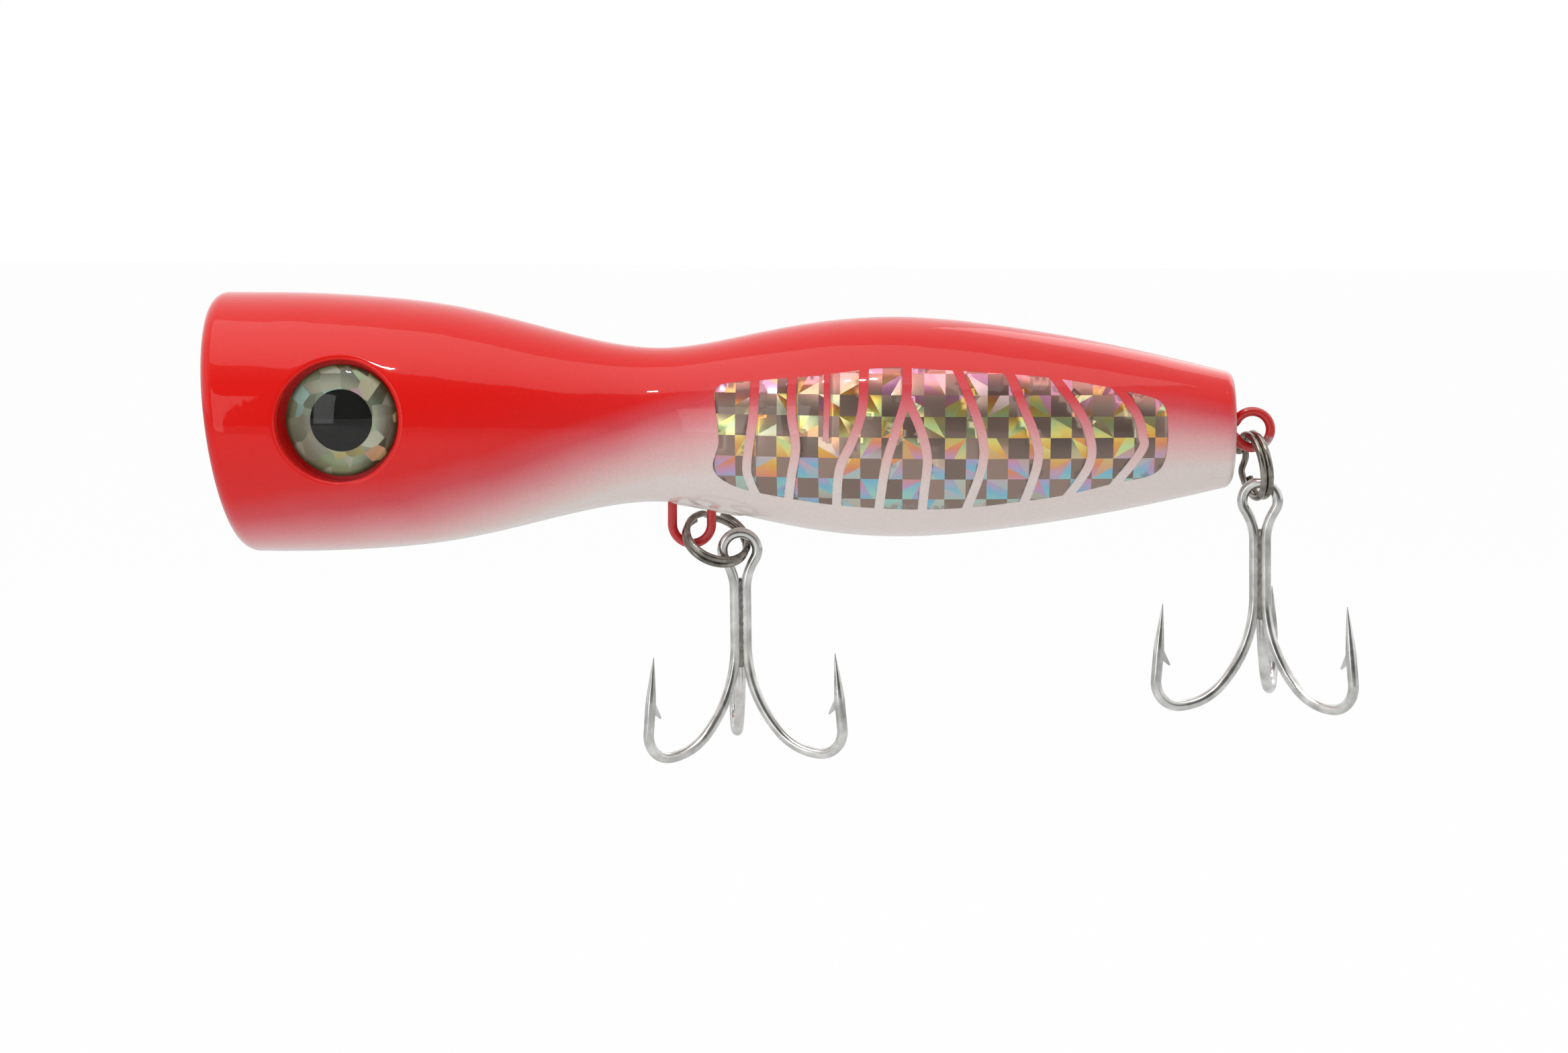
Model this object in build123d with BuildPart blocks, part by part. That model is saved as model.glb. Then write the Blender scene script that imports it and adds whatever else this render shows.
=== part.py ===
"""Topwater popper: a turned wooden lure on a through wire, with two treble hooks.

Millimetres. The origin is the centre of the tow eye, on the body's axis.
+X runs aft along the body, +Z is up, and the lure's own left side is at -Y.
Stations along the body are measured aft from the upper lip of the mouth.
"""

import math
import os

from build123d import *

# --- Turned body -----------------------------------------------------------------
BODY_LENGTH = 140.0  # upper lip to tail face
HEAD_R = 17.9
HEAD_END = 9.0  # the head is a plain cylinder up to this station
NOSE_STOCK = 5.0  # turned in front of the upper lip, and cut away with the mouth
WAIST_R = 10.6
WAIST_AT = 62.0
SWELL_R = 15.05
SWELL_AT = 94.5
TAIL_R = 7.7
TAIL_SLOPE = -0.25  # radius lost for each millimetre of length, at the tail face
TAIL_EDGE_R = 1.3
# What the lathe leaves between those sizes, as station and radius.
SHOULDER = [(22.5, 17.4), (33.5, 16.15), (44.5, 13.65), (53.0, 11.6)]
RISE = [(72.5, 12.2), (83.5, 14.3)]
TAPER = [(109.0, 13.85), (124.5, 11.25)]

# --- Mouth cup -------------------------------------------------------------------
MOUTH_RAKE = 4.4  # how far the lower lip sits behind the upper one
CUP_R = 14.6
CUP_DEPTH = 9.0
LIP_OUTER_R = 2.2
LIP_INNER_R = 0.8

# --- Through wire ----------------------------------------------------------------
WIRE_D = 1.3
LEG_GAP = 0.06  # between a loop's two legs, where they lie side by side
TOW_SETBACK = 6.6  # upper lip to the tow eye's centre
EYE_LOOP_R = 2.47  # to the middle of the wire, on the tow eye and the tail eye
THROAT_R = 1.0
TAG_LENGTH = 9.0  # the cut end that lies beside the main run
TAIL_EYE_OUT = 2.72  # tail face to the tail eye's centre
HANGER_AT = 66.14  # station of the belly hanger's middle
HANGER_R = 2.7
HANGER_DROP = 13.68  # axis to the centre of the hanger's round bottom
HANGER_BEND_R = 1.9

# --- Belly slot and its filler ---------------------------------------------------
SLOT_W = 1.8
SLOT_ABOVE_AXIS = 1.6
BED_CLEARANCE = 0.02  # round the wire and the ballast
SEAL_LENGTH = 10.6  # the drop of epoxy that seals the hanger's legs
SEAL_W = 4.4
SEAL_T = 0.5
SEAL_AFT = 2.2  # hanger's middle to the seal's middle

# --- Ballast, dropped into holes bored up from the belly -------------------------
BALLAST_CLEAR_OF_WIRE = 0.9
BELLY_BALLAST_AT = 84.0
BELLY_BALLAST_R = 4.0
BELLY_BALLAST_H = 7.0
TAIL_BALLAST_AT = 120.0
TAIL_BALLAST_R = 3.4
TAIL_BALLAST_H = 5.0
BALLAST_SIDE_CLEARANCE = 0.15

# --- Eyes ------------------------------------------------------------------------
EYE_AT = 20.1
EYE_UP = 1.2
EYE_R = 7.5
SOCKET_R = 8.1
SOCKET_FLOOR_Y = 12.6  # from the body's middle plane
SOCKET_EDGE_R = 0.8
PAD_R = 7.2
PAD_T = 0.3
IRIS_T = 0.12
PUPIL_R = 3.95
PUPIL_T = 0.08
DOME_WALL = 0.55
DOME_RISE = 2.3

# --- Flank foil ------------------------------------------------------------------
FOIL_T = 0.12
RIB_W = 1.25  # bare stripe between two strips of foil
PANEL = [
    (70.4, 5.9), (76.0, 6.8), (84.0, 7.6), (92.6, 8.7), (99.0, 8.5), (106.0, 8.1), (113.0, 7.6),
    (119.1, 6.8), (125.0, 5.6), (129.6, 4.2), (130.5, 0.8), (130.2, -3.6), (128.4, -5.6),
    (123.9, -6.6), (117.0, -8.3), (110.2, -9.3), (104.2, -10.0), (96.4, -10.3), (86.3, -9.8),
    (78.0, -8.7), (72.6, -7.5), (69.8, -5.2), (70.6, -1.4), (70.2, 2.4),
]
RIBS = [
    [(75.6, 9.5), (75.4, 6.6), (75.2, 1.9), (74.4, -4.1), (74.7, -6.7), (76.6, -11.0)],
    [(80.4, 10.0), (80.4, 7.4), (80.4, 2.5), (81.0, -1.8), (80.3, -6.3), (79.6, -11.5)],
    [(90.2, 11.0), (90.0, 8.0), (89.8, 3.1), (88.5, -1.0), (86.8, -5.0), (86.3, -12.0)],
    [(95.7, 11.0), (95.7, 8.5), (95.6, 4.9), (94.3, 0.4), (92.9, -4.6), (91.8, -12.5)],
    [(95.6, 4.9), (97.5, 0.9), (98.5, -3.2), (98.1, -7.9), (97.7, -12.5)],
    [(101.0, 11.0), (102.6, 8.0), (104.5, 3.6), (105.8, -0.4), (105.7, -4.6), (103.0, -12.5)],
    [(107.5, 11.0), (109.5, 7.6), (111.1, 3.8), (112.8, -0.4), (113.1, -4.1), (110.8, -11.5)],
    [(113.4, 10.0), (115.6, 7.1), (118.4, 3.4), (120.0, 0.0), (120.0, -4.2), (116.0, -10.5)],
    [(121.0, 9.0), (124.0, 5.8), (126.3, 2.7), (127.1, -0.1), (126.9, -2.4), (122.0, -9.0)],
]
SLIT = [(85.1, 10.0), (85.1, 7.7), (85.1, 3.0), (85.0, -1.0)]  # stops short of the lower edge
SLIT_W = 0.85

# --- Split rings -----------------------------------------------------------------
RING_R = 4.38  # to the middle of the coil
RING_WIRE_D = 0.92
COIL_GAP = 0.03
COIL_SWEEP = 322.0  # degrees of flat coil before and after the step between coils
STEP_SWEEP = 30.0
BELLY_RING_STEP = 235.0  # degrees round from the treble to the middle of the step
TAIL_RING_STEP = 90.0

BELLY_RING_DX = 3.4  # hanger's bend centre to the ring's centre
BELLY_RING_DZ = -2.0
BELLY_RING_TILT = 24.0  # degrees that the ring's aft side hangs below its front
BELLY_RING_ROLL = -54.3  # degrees that it is rolled over from upright, its left side hanging low

TAIL_RING_DX = 0.43  # tail eye's centre to the ring's centre
TAIL_RING_DZ = -4.92
TAIL_RING_LEAN = 9.8  # degrees, its foot swung aft
TAIL_RING_TURN = 15.0  # degrees, its left side turned aft

# --- Treble hooks ----------------------------------------------------------------
HOOK_LENGTH = 31.6  # top of the eye to the bottom of the bends
HOOK_WIRE_D = 1.45
SHANK_GAP = 0.06
HOOK_EYE_R = 2.4  # to the middle of the wire
HOOK_EYE_THROAT_R = 7.5
HOOK_NECK = 0.4  # straight run below the eye, buried in the shank
BEND_UPPER_R = 17.0
BEND_LOWER_R = 8.6
BEND_TURN = 45.0  # degrees turned on the upper radius
BEND_FRONT_R = 3.4
POINT_LEAN = 5.5  # degrees that the point leans in to the shank
POINT_LEG = 10.5  # front bend to the tip
POINT_TAPER = 6.4
TIP_R = 0.06
BARB_FROM = 5.2  # these three run down from the tip
BARB_TO = 8.4
BARB_BACK = 7.3
BARB_STAND = 1.2
BARB_T = 0.6
SINGLE_TOP = 8.4  # top of the eye to the third hook's cut end
BRAZE_TOP = 7.1
BRAZE_END = 19.6
BRAZE_R = 1.45
BRAZE_GAP = 0.01

BELLY_TREBLE_DX = 6.6  # hanger's bend centre to the eye's centre
BELLY_TREBLE_DZ = -3.5
BELLY_TREBLE_SPIN = 7.5  # degrees about the shank
BELLY_TREBLE_NOD = 2.0  # degrees that the third hook is lifted
BELLY_TREBLE_SWAY = 0.8  # degrees that the shank's foot is swung aft
TAIL_TREBLE_DX = 1.3  # tail eye's centre to the treble eye's centre
TAIL_TREBLE_DZ = -9.65
TAIL_TREBLE_SPIN = -12.5
TAIL_TREBLE_NOD = 0.0
TAIL_TREBLE_SWAY = 1.2

# --- Worked out from the sizes above ---------------------------------------------
NOSE_X = -TOW_SETBACK
TAIL_X = NOSE_X + BODY_LENGTH
OUTSIDE = 2 * HEAD_R  # from the axis to clear outside the body

MOUTH_TILT = math.atan2(MOUTH_RAKE, 2 * HEAD_R)
MOUTH_OUT = Vector(-math.cos(MOUTH_TILT), 0, -math.sin(MOUTH_TILT))
MOUTH = Plane(origin=(NOSE_X + MOUTH_RAKE / 2, 0, 0), x_dir=(0, 1, 0), z_dir=MOUTH_OUT)

LEG_Z = (WIRE_D + LEG_GAP) / 2
THROAT_X = math.sqrt((EYE_LOOP_R + THROAT_R) ** 2 - (LEG_Z + THROAT_R) ** 2)
THROAT_TURN = math.degrees(math.atan2(THROAT_X, LEG_Z + THROAT_R))
TAIL_EYE = Vector(TAIL_X + TAIL_EYE_OUT, 0, 0)
HANGER = Vector(NOSE_X + HANGER_AT, 0, -HANGER_DROP)
BALLAST_TOP = -(LEG_Z + WIRE_D / 2 + BALLAST_CLEAR_OF_WIRE)

BUNDLE_R = (HOOK_WIRE_D + SHANK_GAP) / math.sqrt(3)  # three wires round the shank's axis
SHANK_LEG_X = (HOOK_WIRE_D + SHANK_GAP) / 2
HOOK_EYE_TOP = HOOK_EYE_R + HOOK_WIRE_D / 2  # heights in a treble run from its eye's centre
HOOK_THROAT_Z = -math.sqrt(
    (HOOK_EYE_R + HOOK_EYE_THROAT_R) ** 2 - (SHANK_LEG_X + HOOK_EYE_THROAT_R) ** 2
)
HOOK_THROAT_TURN = math.degrees(math.atan2(-HOOK_THROAT_Z, SHANK_LEG_X + HOOK_EYE_THROAT_R))
NECK_Z = HOOK_THROAT_Z - HOOK_NECK
BEND_BOTTOM_Z = HOOK_EYE_TOP - HOOK_LENGTH + HOOK_WIRE_D / 2
BEND_SINE = math.sin(math.radians(BEND_TURN))
BEND_START_Z = BEND_BOTTOM_Z + BEND_UPPER_R * BEND_SINE + BEND_LOWER_R * (1 - BEND_SINE)

os.makedirs("parts", exist_ok=True)


def keep(shape, name):
    """Label a finished piece and write it."""
    shape.label = name
    export_step(shape, "parts/" + name + ".step")


def at_stations(points):
    """Stations and heights as points on the XZ plane."""
    return [(NOSE_X + station, height) for station, height in points]


def bend(start, way, moves):
    """Lay runs and tangent arcs end to end. A number is a run, a pair is a radius and a turn."""
    piece = Line(start, (start[0] + way[0] * moves[0], start[1] + way[1] * moves[0]))
    for move in moves[1:]:
        if isinstance(move, tuple):
            piece = JernArc(piece @ 1, piece % 1, *move)
        else:
            piece = Line(piece @ 1, piece @ 1 + (piece % 1) * move)


def round_wire(route, diameter):
    """A round wire along a route of runs and arcs."""
    with BuildPart() as wire:
        with BuildSketch(Plane(origin=route @ 0, z_dir=route % 0)):
            Circle(diameter / 2)
        sweep(path=route)
    return wire.part


# --- Body ------------------------------------------------------------------------
def turned_solid(skin=0.0):
    """The turned outside of the body, thickened by skin, before anything is cut in it."""
    curve = [(HEAD_END, HEAD_R), *SHOULDER, (WAIST_AT, WAIST_R), *RISE, (SWELL_AT, SWELL_R)]
    curve = [(station, radius + skin) for station, radius in [*curve, *TAPER, (BODY_LENGTH, TAIL_R)]]
    with BuildPart() as turned:
        with BuildSketch(Plane.XZ):
            with BuildLine():
                nose = Line((NOSE_X - NOSE_STOCK, 0), (NOSE_X - NOSE_STOCK, HEAD_R + skin))
                side = Line(nose @ 1, (NOSE_X + HEAD_END, HEAD_R + skin))
                flank = Spline(at_stations(curve), tangents=((1, 0), (1, TAIL_SLOPE)))
                tail = Line(flank @ 1, (TAIL_X, 0))
                Line(tail @ 1, nose @ 0)
            make_face()
        revolve(axis=Axis.X)
    return turned.part


def body_envelope():
    """The turned solid with its raked mouth, its cup and its soft edges."""
    mouth_axis = Axis(MOUTH.origin, MOUTH_OUT)
    beyond = HEAD_R + NOSE_STOCK
    with BuildPart() as envelope:
        add(turned_solid())
        split(bisect_by=MOUTH, keep=Keep.BOTTOM)
        fillet(envelope.faces().sort_by(mouth_axis)[-1].edges(), radius=LIP_OUTER_R)
        with BuildSketch(Plane(origin=MOUTH.origin, x_dir=(0, 1, 0), z_dir=MOUTH.y_dir)):
            with BuildLine():
                dish = RadiusArc((0, CUP_DEPTH), (CUP_R, 0), (CUP_R**2 + CUP_DEPTH**2) / (2 * CUP_DEPTH))
                Polyline(dish @ 1, (beyond, 0), (beyond, -beyond), (0, -beyond), dish @ 0)
            make_face()
            fillet(vertices().filter_by(lambda v: abs(v.X - CUP_R) < 0.01), radius=LIP_INNER_R)
        revolve(axis=mouth_axis, mode=Mode.SUBTRACT)
        fillet(envelope.faces().sort_by(Axis.X)[-1].edges(), radius=TAIL_EDGE_R)
    return envelope.part


def eye_seat(side):
    """The floor of an eye socket, facing out. The left side is -1, the right side is 1."""
    floor = (NOSE_X + EYE_AT, side * SOCKET_FLOOR_Y, EYE_UP)
    return Plane(origin=floor, x_dir=(1, 0, 0), z_dir=(0, side, 0))


def belly_slot():
    """The saw cut that the through wire is laid in, from the belly to just above the axis."""
    with BuildPart() as slot:
        with BuildSketch(Plane.XY.offset(SLOT_ABOVE_AXIS)):
            with Locations((NOSE_X + BODY_LENGTH / 2, 0)):
                Rectangle(2 * BODY_LENGTH, SLOT_W)
        extrude(amount=-OUTSIDE)
    return slot.part


def ballast_bore(station, radius):
    """A hole bored up from the belly to just below the wire."""
    with BuildPart() as bore:
        with BuildSketch(Plane.XY.offset(BALLAST_TOP)):
            with Locations((NOSE_X + station, 0)):
                Circle(radius + BALLAST_SIDE_CLEARANCE)
        extrude(amount=-OUTSIDE)
    return bore.part


ENVELOPE = body_envelope()
SLOT = belly_slot()
BALLAST = {
    "belly_ballast": (BELLY_BALLAST_AT, BELLY_BALLAST_R, BELLY_BALLAST_H),
    "tail_ballast": (TAIL_BALLAST_AT, TAIL_BALLAST_R, TAIL_BALLAST_H),
}
BORES = {name: ballast_bore(station, radius) for name, (station, radius, _) in BALLAST.items()}

with BuildPart() as body_blank:
    add(ENVELOPE)
    for side in (-1, 1):
        with BuildSketch(eye_seat(side)):
            Circle(SOCKET_R)
        extrude(amount=OUTSIDE, mode=Mode.SUBTRACT)
    rims = body_blank.edges().filter_by(GeomType.BSPLINE)
    fillet(rims.filter_by(lambda edge: abs(edge.center().Y) > SOCKET_FLOOR_Y), radius=SOCKET_EDGE_R)
    add(SLOT, mode=Mode.SUBTRACT)
    for bore in BORES.values():
        add(bore, mode=Mode.SUBTRACT)
keep(body_blank.part, "body_blank")


# --- Through wire ----------------------------------------------------------------
def wire_route():
    """Tow eye, main run, belly hanger and tail eye, all in the body's middle plane."""
    eye = [(THROAT_R, -THROAT_TURN), (EYE_LOOP_R, 180 + 2 * THROAT_TURN), (THROAT_R, -THROAT_TURN)]
    corner = (HANGER_BEND_R, -90)
    front_run = HANGER.X - HANGER_R - HANGER_BEND_R - THROAT_X
    leg = HANGER_DROP - LEG_Z - HANGER_BEND_R
    rear_run = TAIL_EYE.X - THROAT_X - HANGER.X - HANGER_R - HANGER_BEND_R
    hanger = [corner, leg, (HANGER_R, 180), leg, corner]
    with BuildLine(Plane.XZ) as route:
        moves = [TAG_LENGTH, *eye, front_run, *hanger, rear_run, *eye, TAG_LENGTH]
        bend((THROAT_X + TAG_LENGTH, LEG_Z), (-1, 0), moves)
    return route.line


WIRE_ROUTE = wire_route()
keep(round_wire(WIRE_ROUTE, WIRE_D), "through_wire")
WIRE_BED = round_wire(WIRE_ROUTE, WIRE_D + 2 * BED_CLEARANCE)

with BuildPart() as slot_filler:
    add(ENVELOPE)
    add(SLOT, mode=Mode.INTERSECT)
    add(WIRE_BED, mode=Mode.SUBTRACT)
    for bore in BORES.values():
        add(bore, mode=Mode.SUBTRACT)
keep(slot_filler.part, "slot_filler")

with BuildPart() as hanger_seal:
    with BuildSketch(Plane.XY):
        with Locations((HANGER.X + SEAL_AFT, 0)):
            Ellipse(SEAL_LENGTH / 2, SEAL_W / 2)
    extrude(amount=-OUTSIDE)
    add(turned_solid(SEAL_T), mode=Mode.INTERSECT)
    add(turned_solid(), mode=Mode.SUBTRACT)
    add(WIRE_BED, mode=Mode.SUBTRACT)
keep(hanger_seal.part, "hanger_seal")


# --- Ballast ---------------------------------------------------------------------
def ballast(station, radius, height):
    """A lead slug at the top of its bore."""
    with BuildPart() as slug:
        with BuildSketch(Plane.XY.offset(BALLAST_TOP)):
            with Locations((NOSE_X + station, 0)):
                Circle(radius)
        extrude(amount=-height)
    return slug.part


def ballast_plug(bore, height):
    """A plug that fills the bore below its slug and is turned flush with the belly."""
    with BuildPart() as plug:
        add(bore)
        split(bisect_by=Plane.XY.offset(BALLAST_TOP - height), keep=Keep.BOTTOM)
        add(ENVELOPE, mode=Mode.INTERSECT)
    return plug.part


for name, (station, radius, height) in BALLAST.items():
    keep(ballast(station, radius, height), name)
    keep(ballast_plug(BORES[name], height), name + "_plug")


# --- Eyes ------------------------------------------------------------------------
def eye_disc(plane, radius, thickness):
    """A flat round layer of an eye, standing on a plane."""
    with BuildPart(plane) as disc:
        Cylinder(radius, thickness, align=(Align.CENTER, Align.CENTER, Align.MIN))
    return disc.part


def eye_dome(plane, pupil):
    """The clear dome over the iris, hollowed underneath for the pupil."""
    crown_r = (EYE_R**2 + DOME_RISE**2) / (2 * DOME_RISE)
    height = DOME_WALL + DOME_RISE
    with BuildPart() as dome:
        with Locations(plane):
            Cylinder(EYE_R, height, align=(Align.CENTER, Align.CENTER, Align.MIN))
        with Locations(plane.offset(height - crown_r)):
            Sphere(crown_r, mode=Mode.INTERSECT)
        add(pupil, mode=Mode.SUBTRACT)
    return dome.part


for side, side_name in ((-1, "left"), (1, "right")):
    seat = eye_seat(side)
    pupil = eye_disc(seat.offset(PAD_T + IRIS_T), PUPIL_R, PUPIL_T)
    keep(eye_disc(seat, PAD_R, PAD_T), "eye_pad_" + side_name)
    keep(eye_disc(seat.offset(PAD_T), EYE_R, IRIS_T), "eye_iris_" + side_name)
    keep(pupil, "eye_pupil_" + side_name)
    keep(eye_dome(seat.offset(PAD_T + IRIS_T), pupil), "eye_dome_" + side_name)


# --- Flank foil ------------------------------------------------------------------
def foil_outlines():
    """The strips of the left flank's foil, as flat faces on the XZ plane, nose to tail."""
    with BuildSketch(Plane.XZ) as panel:
        with BuildLine():
            Spline(at_stations(PANEL), periodic=True)
        make_face()
        for rib in RIBS:
            with BuildLine(mode=Mode.PRIVATE) as route:
                Spline(at_stations(rib))
            trace(route.line, RIB_W, mode=Mode.SUBTRACT)
        with BuildLine(mode=Mode.PRIVATE) as route:
            Spline(at_stations(SLIT))
        trace(route.line, SLIT_W, mode=Mode.SUBTRACT)
    return panel.sketch.faces().sort_by(Axis.X)


def foil_strip(outline):
    """A strip of foil laid on the left flank."""
    with BuildPart() as strip:
        extrude(outline, amount=OUTSIDE, dir=(0, -1, 0))
        add(FOIL_SKIN, mode=Mode.INTERSECT)
        add(TURNED, mode=Mode.SUBTRACT)
    return strip.part


TURNED = turned_solid()
FOIL_SKIN = turned_solid(FOIL_T)
for number, outline in enumerate(foil_outlines(), 1):
    left = foil_strip(outline)
    keep(left, f"foil_left_{number:02d}")
    keep(mirror(left, about=Plane.XZ), f"foil_right_{number:02d}")


# --- Split rings -----------------------------------------------------------------
def ring_plane(centre, tilt, roll):
    """A ring's plane: upright along the body, tilted tail down, then rolled over."""
    upright = Plane(origin=centre, x_dir=(1, 0, 0), z_dir=(0, 1, 0))
    return Plane(upright.location * Rotation(0, 0, tilt) * Rotation(roll, 0, 0))


def split_ring(plane, step_at):
    """Two flat coils of one wire, with a step from the first to the second."""
    pitch = (RING_WIRE_D + COIL_GAP) / 2
    step_from = step_at - STEP_SWEEP / 2
    step_to = step_at + STEP_SWEEP / 2
    with BuildLine(plane.offset(-pitch)) as first:
        CenterArc((0, 0), RING_R, step_from - COIL_SWEEP, COIL_SWEEP)
    with BuildLine(plane.offset(pitch)) as second:
        CenterArc((0, 0), RING_R, step_to, COIL_SWEEP)
    coil, next_coil = first.line, second.line
    with BuildLine() as route:
        add(coil)
        Spline(coil @ 1, next_coil @ 0, tangents=(coil % 1, next_coil % 0))
        add(next_coil)
    return round_wire(route.line, RING_WIRE_D)


belly_ring_plane = ring_plane(
    HANGER + Vector(BELLY_RING_DX, 0, BELLY_RING_DZ), BELLY_RING_TILT, BELLY_RING_ROLL
)
keep(split_ring(belly_ring_plane, BELLY_RING_STEP), "belly_split_ring")

tail_ring_plane = ring_plane(
    TAIL_EYE + Vector(TAIL_RING_DX, 0, TAIL_RING_DZ), 90 - TAIL_RING_LEAN, 90 - TAIL_RING_TURN
)
keep(split_ring(tail_ring_plane, TAIL_RING_STEP), "tail_split_ring")


# --- Treble hooks ----------------------------------------------------------------
def treble_plane(eye_centre, spin, nod, sway):
    """A treble's own frame: Z up its shank, X across its eye."""
    swung = Location(eye_centre) * Rotation(0, -sway, 0)
    return Plane(swung * Rotation(nod, 0, 0) * Rotation(0, 0, spin))


def hook_plane(treble, angle):
    """The upright plane that one hook of a treble is bent in."""
    outward = treble.from_local_coords((math.cos(angle), math.sin(angle), 0)) - treble.origin
    return Plane(origin=treble.origin, x_dir=outward, z_dir=outward.cross(treble.z_dir))


def hook(plane, top):
    """One hook in its own plane, from the top of its shank to its barbed point."""
    lean = math.radians(POINT_LEAN)
    turn = 90 - BEND_TURN
    with BuildLine(plane) as route:
        bends = [(BEND_UPPER_R, BEND_TURN), (BEND_LOWER_R, turn), (BEND_FRONT_R, 90 + POINT_LEAN)]
        bend((BUNDLE_R, top), (0, -1), [top - BEND_START_Z, *bends, POINT_LEG - POINT_TAPER])
    along = route.line % 1
    tip = route.line @ 1 + along * POINT_TAPER
    inward = plane.x_dir * -math.cos(lean) - plane.y_dir * math.sin(lean)
    barb_tip = tip - along * BARB_TO + inward * (HOOK_WIRE_D / 2 + BARB_STAND)
    barb = [tip - along * BARB_FROM, barb_tip, tip - along * BARB_BACK]
    barb = [tuple(plane.to_local_coords(corner))[:2] for corner in barb]
    shank = round_wire(route.line, HOOK_WIRE_D)
    with BuildPart() as barbed:
        add(shank)
        with BuildSketch(Plane(origin=route.line @ 1, z_dir=along)):
            Circle(HOOK_WIRE_D / 2)
        with BuildSketch(Plane(origin=tip, z_dir=along)):
            Circle(TIP_R)
        loft()
        with BuildSketch(plane):
            with BuildLine():
                Polyline(*barb, close=True)
            make_face()
        extrude(amount=BARB_T / 2, both=True)
    return barbed.part


def treble_double(treble):
    """One wire bent into the eye and two of the hooks."""
    eye_plane = Plane(
        origin=treble.from_local_coords((0, -BUNDLE_R / 2, 0)),
        x_dir=treble.x_dir,
        z_dir=-treble.y_dir,
    )
    loop = (HOOK_EYE_R, 180 + 2 * HOOK_THROAT_TURN)
    flare = (HOOK_EYE_THROAT_R, -HOOK_THROAT_TURN)
    with BuildLine(eye_plane) as route:
        bend((SHANK_LEG_X, NECK_Z), (0, 1), [HOOK_NECK, flare, loop, flare, HOOK_NECK])
    with BuildPart() as double:
        add(round_wire(route.line, HOOK_WIRE_D))
        for angle in (-30, 210):
            add(hook(hook_plane(treble, math.radians(angle)), NECK_Z))
    return double.part


def treble_braze(treble, double, single):
    """Braze drawn in between the three wires of the shank."""
    with BuildPart() as braze:
        with BuildSketch(treble.offset(HOOK_EYE_TOP - BRAZE_TOP)):
            Circle(BRAZE_R)
            with PolarLocations(BUNDLE_R, 3, start_angle=90):
                Circle(HOOK_WIRE_D / 2 + BRAZE_GAP, mode=Mode.SUBTRACT)
        extrude(amount=BRAZE_TOP - BRAZE_END)
        add([double, single], mode=Mode.SUBTRACT)
    return braze.solids().sort_by(SortBy.VOLUME)[-1]


def treble_hook(name, eye_centre, spin, nod, sway):
    """A whole treble: the double hook with the eye, the third hook and the braze."""
    treble = treble_plane(eye_centre, spin, nod, sway)
    double = treble_double(treble)
    single = hook(hook_plane(treble, math.radians(90)), HOOK_EYE_TOP - SINGLE_TOP)
    keep(double, name + "_double")
    keep(single, name + "_single")
    keep(treble_braze(treble, double, single), name + "_braze")


treble_hook(
    "belly_treble",
    HANGER + Vector(BELLY_TREBLE_DX, 0, BELLY_TREBLE_DZ),
    BELLY_TREBLE_SPIN,
    BELLY_TREBLE_NOD,
    BELLY_TREBLE_SWAY,
)
treble_hook(
    "tail_treble",
    TAIL_EYE + Vector(TAIL_TREBLE_DX, 0, TAIL_TREBLE_DZ),
    TAIL_TREBLE_SPIN,
    TAIL_TREBLE_NOD,
    TAIL_TREBLE_SWAY,
)
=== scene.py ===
# %% [markdown]
# # A topwater popper, built round its measured frame
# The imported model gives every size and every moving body. This lesson adds what the eye needs:
# one skin of paint over the wood, foil that breaks light into colours, domed eyes and bright wire.
# Positions are worked in millimetres with the tow eye at the origin, X aft and Z up.

# %% Load the frame
import math

import bmesh
import bpy
import numpy as np
from mathutils import Matrix, Vector, geometry


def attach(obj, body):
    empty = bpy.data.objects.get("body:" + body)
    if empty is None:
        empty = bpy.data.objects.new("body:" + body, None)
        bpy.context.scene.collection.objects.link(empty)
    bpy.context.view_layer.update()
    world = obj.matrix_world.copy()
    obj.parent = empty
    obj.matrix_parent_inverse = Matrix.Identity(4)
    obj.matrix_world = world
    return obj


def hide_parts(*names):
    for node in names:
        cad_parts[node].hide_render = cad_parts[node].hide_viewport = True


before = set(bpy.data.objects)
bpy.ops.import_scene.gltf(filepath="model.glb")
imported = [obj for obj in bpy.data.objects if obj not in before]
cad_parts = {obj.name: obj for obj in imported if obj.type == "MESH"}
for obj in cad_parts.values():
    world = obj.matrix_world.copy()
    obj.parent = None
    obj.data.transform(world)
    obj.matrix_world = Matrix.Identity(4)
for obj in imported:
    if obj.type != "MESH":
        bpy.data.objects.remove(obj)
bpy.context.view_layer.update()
scene = bpy.context.scene
MM = 0.001

# %% [markdown]
# ## Colours and nodes
# Paint charts give colours in sRGB, and shaders want them linear, so one function turns them.
# Every shader and every Geometry Nodes tree below is written with one small function that adds
# a node, sets it and links it: a socket takes a number, or another node, or one of its outputs.


# %% Two helpers for nodes
def colour(code):
    """An sRGB hex value such as "E61614" as linear red, green, blue and alpha."""
    parts = [int(code[i:i + 2], 16) / 255 for i in (0, 2, 4)]
    return [c / 12.92 if c <= 0.04045 else ((c + 0.055) / 1.055) ** 2.4 for c in parts] + [1.0]


def add(tree, kind, sockets=None, stops=None, **settings):
    """One node of a tree, with its settings, its values and the links that come into it."""
    made = tree.nodes.new(kind)
    for key, value in settings.items():
        setattr(made, key, value)
    for key, value in (sockets or {}).items():
        if isinstance(value, bpy.types.Node):
            value = value.outputs[0]
        if isinstance(value, bpy.types.NodeSocket):
            tree.links.new(value, made.inputs[key])
        else:
            made.inputs[key].default_value = value
    if stops:
        elements = made.color_ramp.elements
        while len(elements) < len(stops):
            elements.new(0.5)
        for element, (place, tint) in zip(elements, stops):
            element.position = place
            element.color = colour(tint) if isinstance(tint, str) else [tint, tint, tint, 1.0]
    return made


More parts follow.
